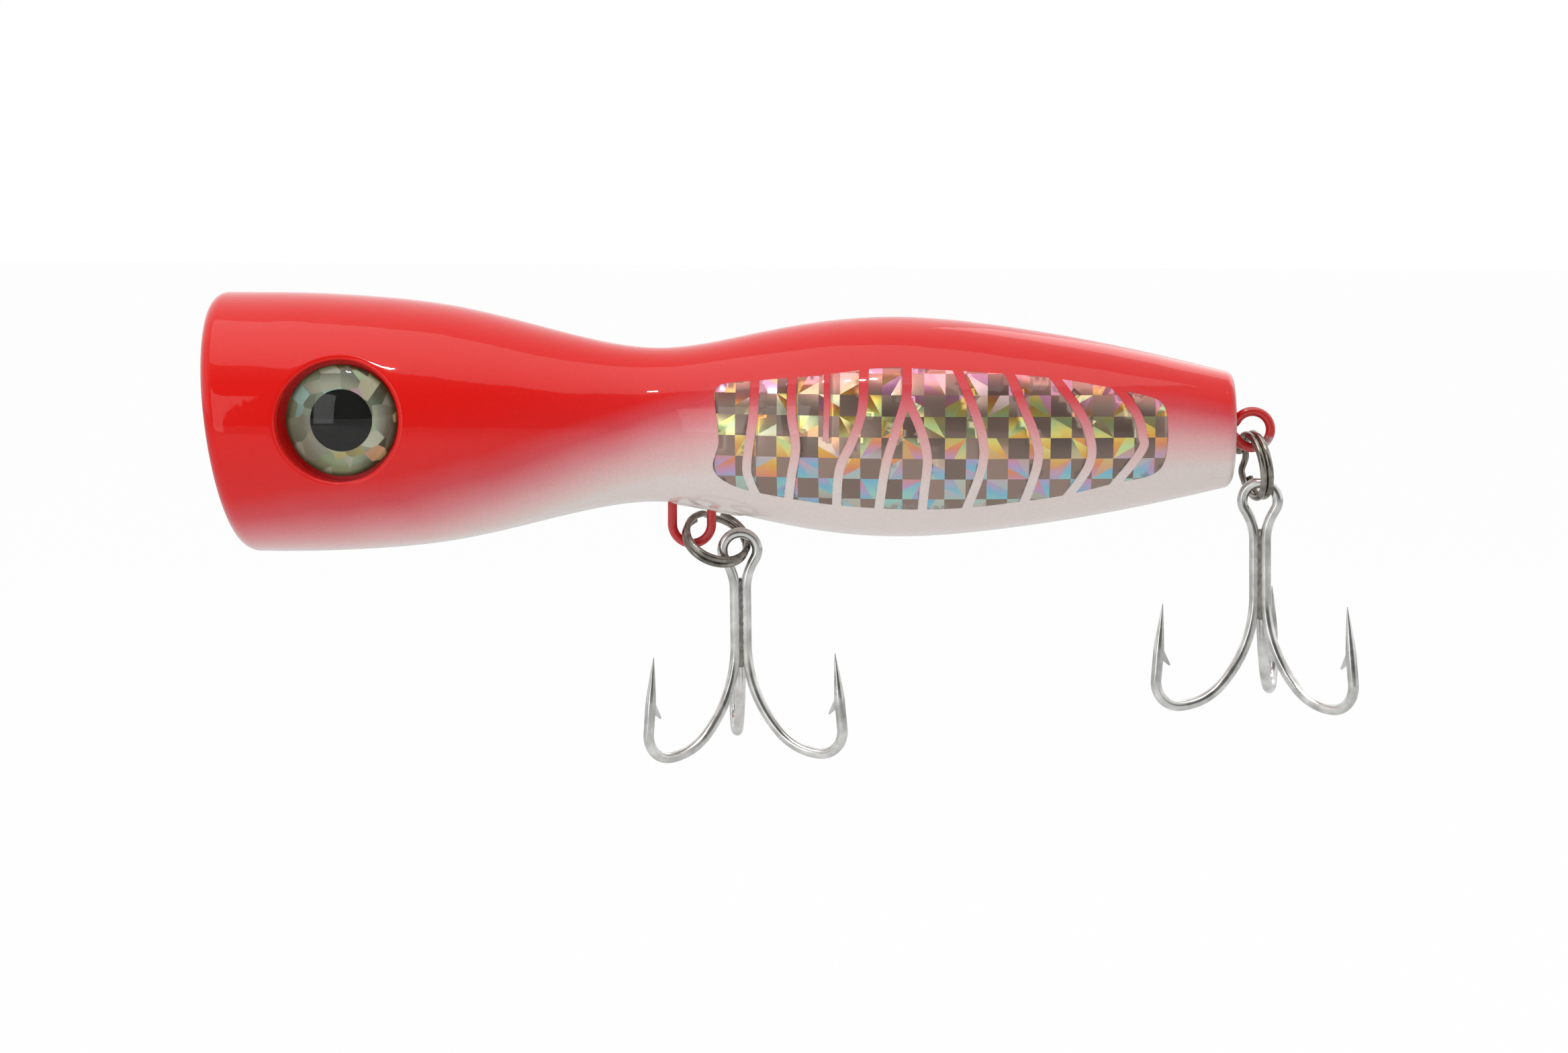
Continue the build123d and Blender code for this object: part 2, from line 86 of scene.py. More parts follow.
def new_material(name):
    """An empty material, its tree and its Principled shader."""
    material = bpy.data.materials.new(name)
    material.use_nodes = True
    tree = material.node_tree
    return material, tree, tree.nodes["Principled BSDF"]


def connect(tree, shader, **sockets):
    """Values and links for a shader's own sockets, with _ for a space in their names."""
    for key, value in sockets.items():
        socket = shader.inputs[key.replace("_", " ")]
        if isinstance(value, bpy.types.Node):
            value = value.outputs[0]
        if isinstance(value, bpy.types.NodeSocket):
            tree.links.new(value, socket)
        else:
            socket.default_value = value


print("red lacquer, linear:", [round(c, 3) for c in colour("E61614")])

# %% [markdown]
# ## The sprayed fade
# The maker sprays the whole body in a pale pink-grey, then fogs red on from above. The soft edge
# runs low under the head, climbs at the waist and stays high along the foil. So the colour is
# looked up by one number: how far a point's angle round the body is above that edge.
# A ramp with the edge's height at each station does this better than a painted map: it is
# exact at any distance, and it can be read and changed.

# %% Stations of the fade's middle
NOSE_X, TAIL_X = -6.6, 133.4
FADE_MIDDLE = [  # station in mm from the upper lip, degrees above the side line
    (4, -48), (12, -44), (30, -36), (40, -27), (46, -19), (52, -10), (58, -1), (64, 10),
    (70, 17), (100, 19), (133, 18), (140, 12),
]
FADE_HALF_WIDTH = math.radians(48)


def sprayed_fade(tree):
    """0 where the belly colour is bare and 1 where the red covers it."""
    place = add(tree, "ShaderNodeTexCoord").outputs["Object"]
    xyz = add(tree, "ShaderNodeSeparateXYZ", {0: place})
    beside = add(tree, "ShaderNodeMath", {0: xyz.outputs["Y"]}, operation="ABSOLUTE")
    angle = add(tree, "ShaderNodeMath", {0: xyz.outputs["Z"], 1: beside}, operation="ARCTAN2")
    along = add(tree, "ShaderNodeMapRange", {0: xyz.outputs["X"], 1: NOSE_X * MM, 2: TAIL_X * MM})
    stops = [(station / 140, (height + 90) / 180) for station, height in FADE_MIDDLE]
    middle = add(tree, "ShaderNodeValToRGB", {0: along.outputs[0]}, stops=stops)
    middle = add(tree, "ShaderNodeMapRange", {0: middle, 3: -math.pi / 2, 4: math.pi / 2})
    # Fog from a spray gun drifts: the edge wanders by a degree or two over about 9 mm.
    drift = add(tree, "ShaderNodeTexNoise", {"Vector": place, "Scale": 1 / (9 * MM), "Detail": 1.0})
    drift = add(tree, "ShaderNodeMapRange", {0: drift.outputs[0], 3: -0.05, 4: 0.05})
    above = add(tree, "ShaderNodeMath", {0: angle, 1: middle}, operation="SUBTRACT")
    above = add(tree, "ShaderNodeMath", {0: above, 1: drift}, operation="ADD")
    sockets = {0: above, 1: -FADE_HALF_WIDTH, 2: FADE_HALF_WIDTH}
    return add(tree, "ShaderNodeMapRange", sockets), place


print("fade stations:", len(FADE_MIDDLE))

# %% [markdown]
# ## Lacquered wood
# Nitrocellulose colour under brushed clear epoxy. The colour coat is satin, and the epoxy over it
# is glass smooth with a slow wave, so the gloss comes from the shader's coat and not from its base.
# The epoxy's orange peel is about 1.5 mm from crest to crest, and its brush waves about 8 mm.

# %% Paint for the body
paint, tree, shader = new_material("sprayed_lacquer_under_epoxy")
fade, place = sprayed_fade(tree)
PAINT_STOPS = [
    (0.0, "F0E2DC"), (0.12, "F1D1CB"), (0.26, "EFB6B4"), (0.40, "E88A8E"), (0.54, "E24F56"),
    (0.68, "E92322"), (1.0, "EE140C"),
]
tint = add(tree, "ShaderNodeValToRGB", {0: fade.outputs[0]}, stops=PAINT_STOPS)
# Dry overspray is a dust of single droplets, drawn at 0.35 mm so that it shows.
dust = add(tree, "ShaderNodeTexNoise", {"Vector": place, "Scale": 1 / (0.35 * MM), "Detail": 2.0})
dust = add(tree, "ShaderNodeMapRange", {0: dust.outputs[0], 1: 0.35, 2: 0.65, 3: 0.965, 4: 1.02})
tint = add(
    tree, "ShaderNodeMix", {0: 1.0, 6: tint.outputs[0], 7: dust.outputs[0]},
    data_type="RGBA", blend_type="MULTIPLY",
)
peel = add(tree, "ShaderNodeTexNoise", {"Vector": place, "Scale": 1 / (1.5 * MM), "Detail": 1.0})
wave = add(tree, "ShaderNodeTexNoise", {"Vector": place, "Scale": 1 / (8 * MM), "Detail": 0.0})
wave_bump = add(tree, "ShaderNodeBump", {"Strength": 0.55, "Distance": 0.25 * MM, "Height": wave.outputs[0]})
peel_bump = add(
    tree, "ShaderNodeBump",
    {"Strength": 0.25, "Distance": 0.04 * MM, "Height": peel.outputs[0], "Normal": wave_bump},
)
connect(
    tree, shader, Base_Color=tint.outputs[2], Roughness=0.38, IOR=1.5, Coat_Weight=1.0,
    Coat_Roughness=0.045, Coat_IOR=1.38, Coat_Normal=peel_bump, Specular_IOR_Level=0.05,
)
print("paint stops:", len(PAINT_STOPS))

# %% [markdown]
# ## The turned body
# A lathe leaves one radius at each station, so the body is a lathe grid: rings of points from the
# cup, over the lip and down the flank to the tail face. The mouth is cut at a slope, so its rings
# are laid out in the mouth's own plane. An eye socket is a bored hole, which a lathe grid can't
# hold, so a window of the grid is left out and filled with rings that go from square to round.
# A Boolean would cut it too, but it leaves slivers that show as scratches in a glossy coat.

# %% Radius at each station
STATIONS = [
    (9.0, 17.9), (22.5, 17.4), (33.5, 16.15), (44.5, 13.65), (53.0, 11.6), (62.0, 10.6),
    (72.5, 12.2), (83.5, 14.3), (94.5, 15.05), (109.0, 13.85), (124.5, 11.25), (140.0, 7.7),
]
HEAD_R, TAIL_R, TAIL_SLOPE, TAIL_EDGE_R = 17.9, 7.7, -0.25, 1.3


def clamped_spline(xs, ys, slope_0, slope_1):
    """Second derivatives of the smooth curve through the points with both end slopes given."""
    n, h = len(xs), np.diff(xs)
    system, right = np.zeros((n, n)), np.zeros(n)
    for i in range(1, n - 1):
        system[i, i - 1:i + 2] = h[i - 1], 2 * (h[i - 1] + h[i]), h[i]
        right[i] = 6 * ((ys[i + 1] - ys[i]) / h[i] - (ys[i] - ys[i - 1]) / h[i - 1])
    system[0, :2] = 2 * h[0], h[0]
    right[0] = 6 * ((ys[1] - ys[0]) / h[0] - slope_0)
    system[-1, -2:] = h[-1], 2 * h[-1]
    right[-1] = 6 * (slope_1 - (ys[-1] - ys[-2]) / h[-1])
    return np.linalg.solve(system, right)


SPLINE_X = np.array([s for s, _ in STATIONS]) + NOSE_X
SPLINE_R = np.array([r for _, r in STATIONS])
SPLINE_M = clamped_spline(SPLINE_X, SPLINE_R, 0.0, TAIL_SLOPE)


def body_radius(x):
    """The turned radius at x, without the rounded edges."""
    if x <= SPLINE_X[0]:
        return HEAD_R
    i = min(int(np.searchsorted(SPLINE_X, x)) - 1, len(SPLINE_X) - 2)
    h, a, b = SPLINE_X[i + 1] - SPLINE_X[i], SPLINE_X[i + 1] - x, x - SPLINE_X[i]
    return float(
        (SPLINE_M[i] * a**3 + SPLINE_M[i + 1] * b**3) / (6 * h)
        + (SPLINE_R[i] / h - SPLINE_M[i] * h / 6) * a
        + (SPLINE_R[i + 1] / h - SPLINE_M[i + 1] * h / 6) * b
    )


print("radius at the waist and the swell:", round(body_radius(55.4), 2), round(body_radius(87.9), 2))

# %% Cup, lip, flank and tail as rings
COLUMNS = 288
MOUTH_X, MOUTH_SLOPE = -4.4, 4.4 / 35.8
MOUTH_TILT = math.atan(MOUTH_SLOPE)
CUP_R, CUP_DEPTH, LIP_OUTER_R, LIP_INNER_R = 14.6, 9.0, 2.2, 0.8
CUP_SPHERE = (CUP_R**2 + CUP_DEPTH**2) / (2 * CUP_DEPTH)
INWARD = Vector((math.cos(MOUTH_TILT), 0, math.sin(MOUTH_TILT)))
UP_IN_MOUTH = Vector((-math.sin(MOUTH_TILT), 0, math.cos(MOUTH_TILT)))
FLANK_START = 3.6


def rounded(a, corner, b, t):
    """A point t of the way along a quarter-round from a to b whose square corner is given."""
    w = math.sqrt(0.5) * 2 * t * (1 - t)
    return (a * (1 - t) ** 2 + corner * w + b * t * t) / ((1 - t) ** 2 + w + t * t)


def in_mouth(radius, turn, depth=0.0):
    """A point of the mouth's plane, or below it, by its distance and turn round the middle."""
    flat = Vector((0, -math.cos(turn), 0)) + UP_IN_MOUTH * math.sin(turn)
    return Vector((MOUTH_X, 0, 0)) + flat * radius + INWARD * depth


def mouth_column(angle):
    """Points from the bottom of the cup over the lip to the flank, for one column."""
    y, z = -HEAD_R * math.cos(angle), HEAD_R * math.sin(angle)
    edge = Vector((MOUTH_X - z * MOUTH_SLOPE, y, z))
    reach = (edge - Vector((MOUTH_X, 0, 0))).length
    turn = math.atan2(z / math.cos(MOUTH_TILT), -y)
    dish = math.asin(CUP_R / CUP_SPHERE)
    ease = LIP_INNER_R * math.tan(dish / 2)
    column = []
    for k in range(1, 25):
        sweep = (dish - ease / CUP_SPHERE) * k / 24
        depth = CUP_SPHERE * math.cos(sweep) - (CUP_SPHERE - CUP_DEPTH)
        column.append(in_mouth(CUP_SPHERE * math.sin(sweep), turn, depth))
    rim, top = column[-1], in_mouth(CUP_R + ease, turn)
    column += [rounded(rim, in_mouth(CUP_R, turn), top, k / 6) for k in range(1, 7)]
    flat_edge = in_mouth(reach - LIP_OUTER_R, turn)
    side_edge = edge + Vector((LIP_OUTER_R, 0, 0))
    column += [rounded(flat_edge, edge, side_edge, k / 10) for k in range(11)]
    last = Vector((FLANK_START, y, z))
    return column + [side_edge.lerp(last, k / 6) for k in range(1, 7)]


angles = [2 * math.pi * j / COLUMNS for j in range(COLUMNS)]
columns = [mouth_column(angle) for angle in angles]
flank = list(np.arange(FLANK_START + 0.7, TAIL_X - TAIL_EDGE_R, 0.7))
rounding = [
    (TAIL_X - TAIL_EDGE_R * (1 - math.sin(t)), TAIL_R - TAIL_EDGE_R * (1 - math.cos(t)) + 0.3 * math.cos(t))
    for t in np.linspace(0.05, math.pi / 2, 9)
]
tail_face = [(TAIL_X, r) for r in (5.2, 3.6, 2.0, 0.9)]
rings = [(x, body_radius(x)) for x in flank] + rounding + tail_face
for column, angle in zip(columns, angles):
    for x, r in rings:
        column.append(Vector((x, -r * math.cos(angle), r * math.sin(angle))))
print("points in a column:", len(columns[0]), "columns:", COLUMNS)

# %% [markdown]
# ## Eye sockets in the skin
# The socket is 16.2 mm across with a soft rim, and its floor is flat, 12.6 mm from the middle.
# Its outline on the round head isn't level, so the rim follows the head and the wall is longer
# at the middle than above and below. The left socket is worked out, and the right one mirrors it.

# %% Windows in the grid and the socket rings
EYE_X, EYE_Z, SOCKET_R, SOCKET_FLOOR, SOCKET_EDGE_R = 13.5, 1.2, 8.1, 12.6, 0.8
first_row = len(columns[0]) - len(rings)
rows = [first_row + int(round((EYE_X + d - flank[0]) / 0.7)) for d in (-9.8, 9.8)]
low = int(math.floor(math.asin((EYE_Z - 9.8) / HEAD_R) / (2 * math.pi / COLUMNS)))
high = int(math.ceil(math.asin((EYE_Z + 9.9) / (HEAD_R - 0.6)) / (2 * math.pi / COLUMNS)))
windows = {-1: (low, high), 1: (COLUMNS // 2 - high, COLUMNS // 2 - low)}


def in_window(row, column):
    """The side whose socket replaces the square of the grid at this row and column, or 0."""
    for side, (first, last) in windows.items():
        inside = (column - first) % COLUMNS < last - first
        if rows[0] <= row < rows[1] and inside:
            return side
    return 0


def on_head(x, z, side):
    """The head's surface beside the middle plane, at x and z."""
    return Vector((x, side * math.sqrt(max(body_radius(x) ** 2 - z * z, 0.0)), z))


def socket_rings(loop, side):
    """Rings of points from the window's edge to the socket's floor."""
    made = []
    turns = [math.atan2(p.z - EYE_Z, p.x - EYE_X) for p in loop]
    for k in range(1, 9):
        ring = []
        for p, t in zip(loop, turns):
            x, z = EYE_X + 8.9 * math.cos(t), EYE_Z + 8.9 * math.sin(t)
            ring.append(on_head(p.x + (x - p.x) * k / 8, p.z + (z - p.z) * k / 8, side))
        made.append(ring)
    for k in range(1, 8):
        ring = []
        for p, t in zip(made[7], turns):
            x, z = EYE_X + SOCKET_R * math.cos(t), EYE_Z + SOCKET_R * math.sin(t)
            corner = on_head(x, z, side)
            wall = corner - Vector((0, side * SOCKET_EDGE_R, 0))
            ring.append(rounded(p, corner, wall, k / 7))
        made.append(ring)
    for k in range(1, 5):
        made.append([
            Vector((p.x, p.y + (side * SOCKET_FLOOR - p.y) * k / 4, p.z)) for p in made[14]
        ])
    for radius in (7.4, 5.0, 2.5):
        made.append([
            Vector((EYE_X + radius * math.cos(t), side * SOCKET_FLOOR, EYE_Z + radius * math.sin(t)))
            for t in turns
        ])
    return made


print("window rows and columns:", rows, windows)

# %% Sew the skin together
points = [p for column in columns for p in column]
depth = len(columns[0])
faces = []
for j in range(COLUMNS):
    following = (j + 1) % COLUMNS
    for i in range(depth - 1):
        if not in_window(i, j):
            faces.append((j * depth + i, j * depth + i + 1, following * depth + i + 1, following * depth + i))
for row, centre in ((0, in_mouth(0, 0, CUP_DEPTH)), (depth - 1, Vector((TAIL_X, 0, 0)))):
    points.append(centre)
    for j in range(COLUMNS):
        faces.append((len(points) - 1, j * depth + row, (j + 1) % COLUMNS * depth + row))
for side, (first, last) in windows.items():
    walk = [(rows[0], c) for c in range(first, last)] + [(r, last) for r in range(rows[0], rows[1])]
    walk += [(rows[1], c) for c in range(last, first, -1)] + [(r, first) for r in range(rows[1], rows[0], -1)]
    loop = [(c % COLUMNS) * depth + r for r, c in walk]
    for ring in socket_rings([points[i] for i in loop], side):
        start = len(points)
        points += ring
        inner = list(range(start, start + len(ring)))
        for k in range(len(loop)):
            n = (k + 1) % len(loop)
            faces.append((loop[k], loop[n], inner[n], inner[k]))
        loop = inner
    points.append(Vector((EYE_X, side * SOCKET_FLOOR, EYE_Z)))
    faces += [(loop[k], loop[(k + 1) % len(loop)], len(points) - 1) for k in range(len(loop))]


def new_piece(name, points, faces, material, body, replaced=(), sharp=35):
    """A closed mesh from millimetre points, facing outward, that rides on a body."""
    mesh = bpy.data.meshes.new(name)
    mesh.from_pydata([Vector(p) * MM for p in points], [], faces)
    shape = bmesh.new()
    shape.from_mesh(mesh)
    bmesh.ops.remove_doubles(shape, verts=shape.verts, dist=1e-7)
    bmesh.ops.recalc_face_normals(shape, faces=shape.faces)
    shape.to_mesh(mesh)
    shape.free()
    mesh.shade_smooth()
    mesh.set_sharp_from_angle(angle=math.radians(sharp))
    mesh.materials.append(material)
    return settle(bpy.data.objects.new(name, mesh), body, replaced)


def settle(piece, body, replaced):
    """Put a finished piece on its body and the CAD nodes that it stands for."""
    if piece.name not in scene.collection.objects:
        scene.collection.objects.link(piece)
    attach(piece, body)
    if replaced:
        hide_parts(*replaced)
    return piece


skin = new_piece(
    "body_skin", points, faces, paint, "lure",
    ("body_blank", "slot_filler", "belly_ballast_plug", "tail_ballast_plug"), sharp=60,
)
print("body skin:", len(skin.data.polygons), "faces")

# %% [markdown]
# ## Prism foil
# The flank is covered with strips of adhesive foil, cut with bare stripes between them so that the
# side reads as ribs. The foil is embossed in squares of about 2.8 mm: every other square is a plain
# mirror, and the rest are cut into small fans of facets, each of which sends back its own colour.
# Real foil does this by diffraction. A shader can't follow that cheaply, so each facet gets a
# steady colour from its row, a random share of silver, and its own small tilt.

# %% The foil's finish
foil, tree, shader = new_material("embossed_prism_foil")
fade, place = sprayed_fade(tree)
SQUARE = 2.8 * MM
xyz = add(tree, "ShaderNodeSeparateXYZ", {0: place})
cell, inside = {}, {}
for axis, shift in (("X", 0.35), ("Z", 0.15)):
    scaled = add(
        tree, "ShaderNodeMath", {0: xyz.outputs[axis], 1: 1 / SQUARE, 2: shift}, operation="MULTIPLY_ADD"
    )
    cell[axis] = add(tree, "ShaderNodeMath", {0: scaled}, operation="FLOOR")
    inside[axis] = add(tree, "ShaderNodeMath", {0: scaled}, operation="FRACT")
total = add(tree, "ShaderNodeMath", {0: cell["X"], 1: cell["Z"]}, operation="ADD")
bright = add(tree, "ShaderNodeMath", {0: total, 1: 2.0}, operation="FLOORED_MODULO")
# Each bright square fans out from one of its corners, which corner at random.
where = add(tree, "ShaderNodeCombineXYZ", {0: cell["X"], 1: cell["Z"], 2: xyz.outputs["Y"]})
where = add(tree, "ShaderNodeVectorMath", {0: where, 1: (1, 1, 0)}, operation="MULTIPLY")
chance = add(tree, "ShaderNodeTexWhiteNoise", {0: where}, noise_dimensions="3D")
flips = add(tree, "ShaderNodeSeparateColor", {0: chance.outputs["Color"]})
legs = []
for axis, channel in (("X", 0), ("Z", 1)):
    flip = add(tree, "ShaderNodeMath", {0: flips.outputs[channel], 1: 0.5}, operation="GREATER_THAN")
    leg = add(tree, "ShaderNodeMath", {0: inside[axis], 1: flip}, operation="SUBTRACT")
    legs.append(add(tree, "ShaderNodeMath", {0: leg}, operation="ABSOLUTE"))
fan = add(tree, "ShaderNodeMath", {0: legs[1], 1: legs[0]}, operation="ARCTAN2")
fan = add(tree, "ShaderNodeMath", {0: fan, 1: 3 / (math.pi / 2)}, operation="MULTIPLY")
facet = add(tree, "ShaderNodeMath", {0: fan}, operation="FLOOR")
facet = add(tree, "ShaderNodeMath", {0: facet, 1: bright}, operation="MULTIPLY")
facet_id = add(tree, "ShaderNodeCombineXYZ", {0: cell["X"], 1: cell["Z"], 2: facet})
luck = add(tree, "ShaderNodeTexWhiteNoise", {0: facet_id}, noise_dimensions="3D")
ROWS = [  # from the belly to the back
    (0.0, "B9B4A6"), (0.10, "9FD6C8"), (0.20, "7FC0D8"), (0.28, "C7A0C9"), (0.36, "E8906A"),
    (0.44, "F0B24A"), (0.52, "F3E27A"), (0.60, "CDE9A6"), (0.68, "F2E070"), (0.78, "F09A52"),
    (0.88, "E69BB8"), (1.0, "D79AC4"),
]
height = add(tree, "ShaderNodeMapRange", {0: xyz.outputs["Z"], 1: -10.6 * MM, 2: 9.0 * MM})
shift = add(tree, "ShaderNodeMapRange", {0: luck.outputs["Value"], 3: -0.15, 4: 0.15})
height = add(tree, "ShaderNodeMath", {0: height, 1: shift}, operation="ADD")
hue = add(tree, "ShaderNodeValToRGB", {0: height}, stops=ROWS)
silvering = add(tree, "ShaderNodeSeparateColor", {0: luck.outputs["Color"]})
silver = add(tree, "ShaderNodeMapRange", {0: silvering.outputs[2], 1: 0.45, 2: 1.0, 4: 0.75})
fanned = add(
    tree, "ShaderNodeMix", {0: silver.outputs[0], 6: hue.outputs[0], 7: colour("C9C3B4")},
    data_type="RGBA",
)
dull = add(
    tree, "ShaderNodeMix",
    {0: chance.outputs["Value"], 6: colour("7E6A5E"), 7: colour("A08678")}, data_type="RGBA",
)
squares = add(
    tree, "ShaderNodeMix", {0: bright, 6: dull.outputs[2], 7: fanned.outputs[2]}, data_type="RGBA"
)
# The red fog reaches over the foil's upper edge.
fog = add(tree, "ShaderNodeMapRange", {0: fade.outputs[0], 1: 0.5, 2: 0.72, 4: 0.62})
fogged = add(
    tree, "ShaderNodeMix", {0: fog.outputs[0], 6: squares.outputs[2], 7: colour("C8322C")},
    data_type="RGBA",
)
normal = add(tree, "ShaderNodeNewGeometry").outputs["Normal"]
tilt = add(tree, "ShaderNodeVectorMath", {0: luck.outputs["Color"], 1: (0.5, 0.5, 0.5)}, operation="SUBTRACT")
tilt = add(tree, "ShaderNodeVectorMath", {0: tilt, "Scale": 0.35}, operation="SCALE")
tilt = add(tree, "ShaderNodeVectorMath", {0: normal, 1: tilt}, operation="ADD")
tilt = add(tree, "ShaderNodeVectorMath", {0: tilt}, operation="NORMALIZE")
satin = add(tree, "ShaderNodeMapRange", {0: bright, 3: 0.34, 4: 0.22})
connect(
    tree, shader, Base_Color=fogged.outputs[2], Metallic=0.85, Roughness=satin, Normal=tilt,
    Coat_Weight=1.0, Coat_Roughness=0.05, Coat_IOR=1.52,
)
print("foil squares:", SQUARE / MM, "mm, rows of colour:", len(ROWS))

# %% [markdown]
# ## Strips of foil
# On the real lure one sheet of foil is rubbed down and slit with a knife. Here one flat outline is
# cut by the bare stripes: a constrained triangulation takes the panel and the stripes as faces and
# says which triangles lie in the panel and in no stripe. The flat triangles are then laid on the
# turned surface, and each connected patch of them becomes one strip.

# %% Outlines of the panel and its stripes
PANEL = [
    (70.4, 5.9), (76.0, 6.8), (84.0, 7.6), (92.6, 8.7), (99.0, 8.5), (106.0, 8.1), (113.0, 7.6),
    (119.1, 6.8), (125.0, 5.6), (129.6, 4.2), (130.5, 0.8), (130.2, -3.6), (128.4, -5.6),
    (123.9, -6.6), (117.0, -8.3), (110.2, -9.3), (104.2, -10.0), (96.4, -10.3), (86.3, -9.8),
    (78.0, -8.7), (72.6, -7.5), (69.8, -5.2), (70.6, -1.4), (70.2, 2.4),
]
RIB_W, SLIT_W = 1.25, 0.85
RIBS = [
    [(75.6, 9.5), (75.4, 6.6), (75.2, 1.9), (74.4, -4.1), (74.7, -6.7), (76.6, -11.0)],
    [(80.4, 10.0), (80.4, 7.4), (80.4, 2.5), (81.0, -1.8), (80.3, -6.3), (79.6, -11.5)],
    [(90.2, 11.0), (90.0, 8.0), (89.8, 3.1), (88.5, -1.0), (86.8, -5.0), (86.3, -12.0)],
    [(95.7, 11.0), (95.7, 8.5), (95.6, 4.9), (94.3, 0.4), (92.9, -4.6), (91.8, -12.5)],
    [(95.6, 4.9), (97.5, 0.9), (98.5, -3.2), (98.1, -7.9), (97.7, -12.5)],
    [(101.0, 11.0), (102.6, 8.0), (104.5, 3.6), (105.8, -0.4), (105.7, -4.6), (103.0, -12.5)],
    [(107.5, 11.0), (109.5, 7.6), (111.1, 3.8), (112.8, -0.4), (113.1, -4.1), (110.8, -11.5)],
    [(113.4, 10.0), (115.6, 7.1), (118.4, 3.4), (120.0, 0.0), (120.0, -4.2), (116.0, -10.5)],
    [(121.0, 9.0), (124.0, 5.8), (126.3, 2.7), (127.1, -0.1), (126.9, -2.4), (122.0, -9.0)],
]
SLIT = [(85.1, 10.0), (85.1, 7.7), (85.1, 3.0), (85.0, -1.0)]


def smooth_through(points, closed, steps=8):
    """A Catmull-Rom curve through flat points."""
    p = [Vector(q) for q in points]
    p = [p[-1], *p, p[0], p[1]] if closed else [2 * p[0] - p[1], *p, 2 * p[-1] - p[-2]]
    made = []
    for a, b, c, d in zip(p, p[1:], p[2:], p[3:]):
        for k in range(steps):
            t = k / steps
            made.append(0.5 * (2 * b + (c - a) * t + (2 * a - 5 * b + 4 * c - d) * t**2
                               + (3 * b - 3 * c + d - a) * t**3))
    return made if closed else [*made, p[-2]]


def stripe(points, width):
    """The outline of a stripe of even width along a curve."""
    line = smooth_through(points, False)
    ways = [(b - a).normalized() for a, b in zip([line[0], *line[:-1]], line[1:])]
    ways = [(line[1] - line[0]).normalized(), *ways[1:], (line[-1] - line[-2]).normalized()]
    sides = [Vector((-w.y, w.x)) * width / 2 for w in ways]
    return [p + s for p, s in zip(line, sides)] + [p - s for p, s in reversed(list(zip(line, sides)))]


outlines = [smooth_through(PANEL, True)]
outlines += [stripe(rib, RIB_W) for rib in RIBS] + [stripe(SLIT, SLIT_W)]
flat, loops = [], []
for outline in outlines:
    # The triangulation wants every outline anticlockwise.
    area = sum(a.cross(b) for a, b in zip(outline, outline[1:] + outline[:1]))
    loops.append(list(range(len(flat), len(flat) + len(outline))))
    flat += [Vector((p.x + NOSE_X, p.y)) for p in (outline if area > 0 else reversed(outline))]
# Points inside the panel let the flat triangles bend round the body.
flat += [
    Vector((x, z)) for x in np.arange(64.0, 124.2, 1.1) for z in np.arange(-10.2, 9.0, 1.1)
]
cut = geometry.delaunay_2d_cdt(flat, [], loops, 0, 1e-4)
kept = [f for f, source in zip(cut[2], cut[5]) if 0 in source and not any(s > 0 for s in source)]
print("foil triangles:", len(kept))


# %% Lay the strips on both flanks
def patches(triangles):
    """The triangles that share corners, patch by patch."""
    owner = {}

    def root(v):
        while owner.setdefault(v, v) != v:
            owner[v] = owner[owner[v]]
            v = owner[v]
        return v

    for triangle in triangles:
        for v in triangle[1:]:
            owner[root(v)] = root(triangle[0])
    groups = {}
    for triangle in triangles:
        groups.setdefault(root(triangle[0]), []).append(triangle)
    return list(groups.values())


FOIL_TOP, FOIL_EDGE, FOIL_FOOT = 0.11, 0.05, -0.03


def laid_strip(triangles, side):
    """One strip as a closed sheet on the flank, a little lower along its edges."""
    used = sorted({v for t in triangles for v in t})
    index = {v: k for k, v in enumerate(used)}
    count = {}
    for t in triangles:
        for a, b in zip(t, [*t[1:], t[0]]):
            count.setdefault(tuple(sorted((a, b))), []).append((a, b))
    rim = [edges[0] for edges in count.values() if len(edges) == 1]
    on_rim = {v for edge in rim for v in edge}
    points, faces = [], []
    for foot in (False, True):
        for v in used:
            x, z = cut[0][v]
            proud = FOIL_FOOT if foot else FOIL_EDGE if v in on_rim else FOIL_TOP
            radius = body_radius(x)
            scale = (radius + proud) / radius
            points.append((x, side * math.sqrt(radius**2 - z * z) * scale, z * scale))
    n = len(used)
    for t in triangles:
        top = [index[v] for v in t]
        faces += [tuple(top), tuple(v + n for v in reversed(top))]
    faces += [(index[a], index[b], index[b] + n, index[a] + n) for a, b in rim]
    return points, faces


strips = [patch for patch in patches(kept) if len(patch) > 12]
strips.sort(key=lambda patch: sum(cut[0][t[0]].x for t in patch) / len(patch))
for side, name in ((-1, "left"), (1, "right")):
    for number, patch in enumerate(strips, 1):
        points, faces = laid_strip(patch, side)
        label = f"foil_{name}_{number:02d}"
        new_piece(f"strip_{name}_{number:02d}", points, faces, foil, "lure", (label,), 80)
print("strips on each side:", len(strips))
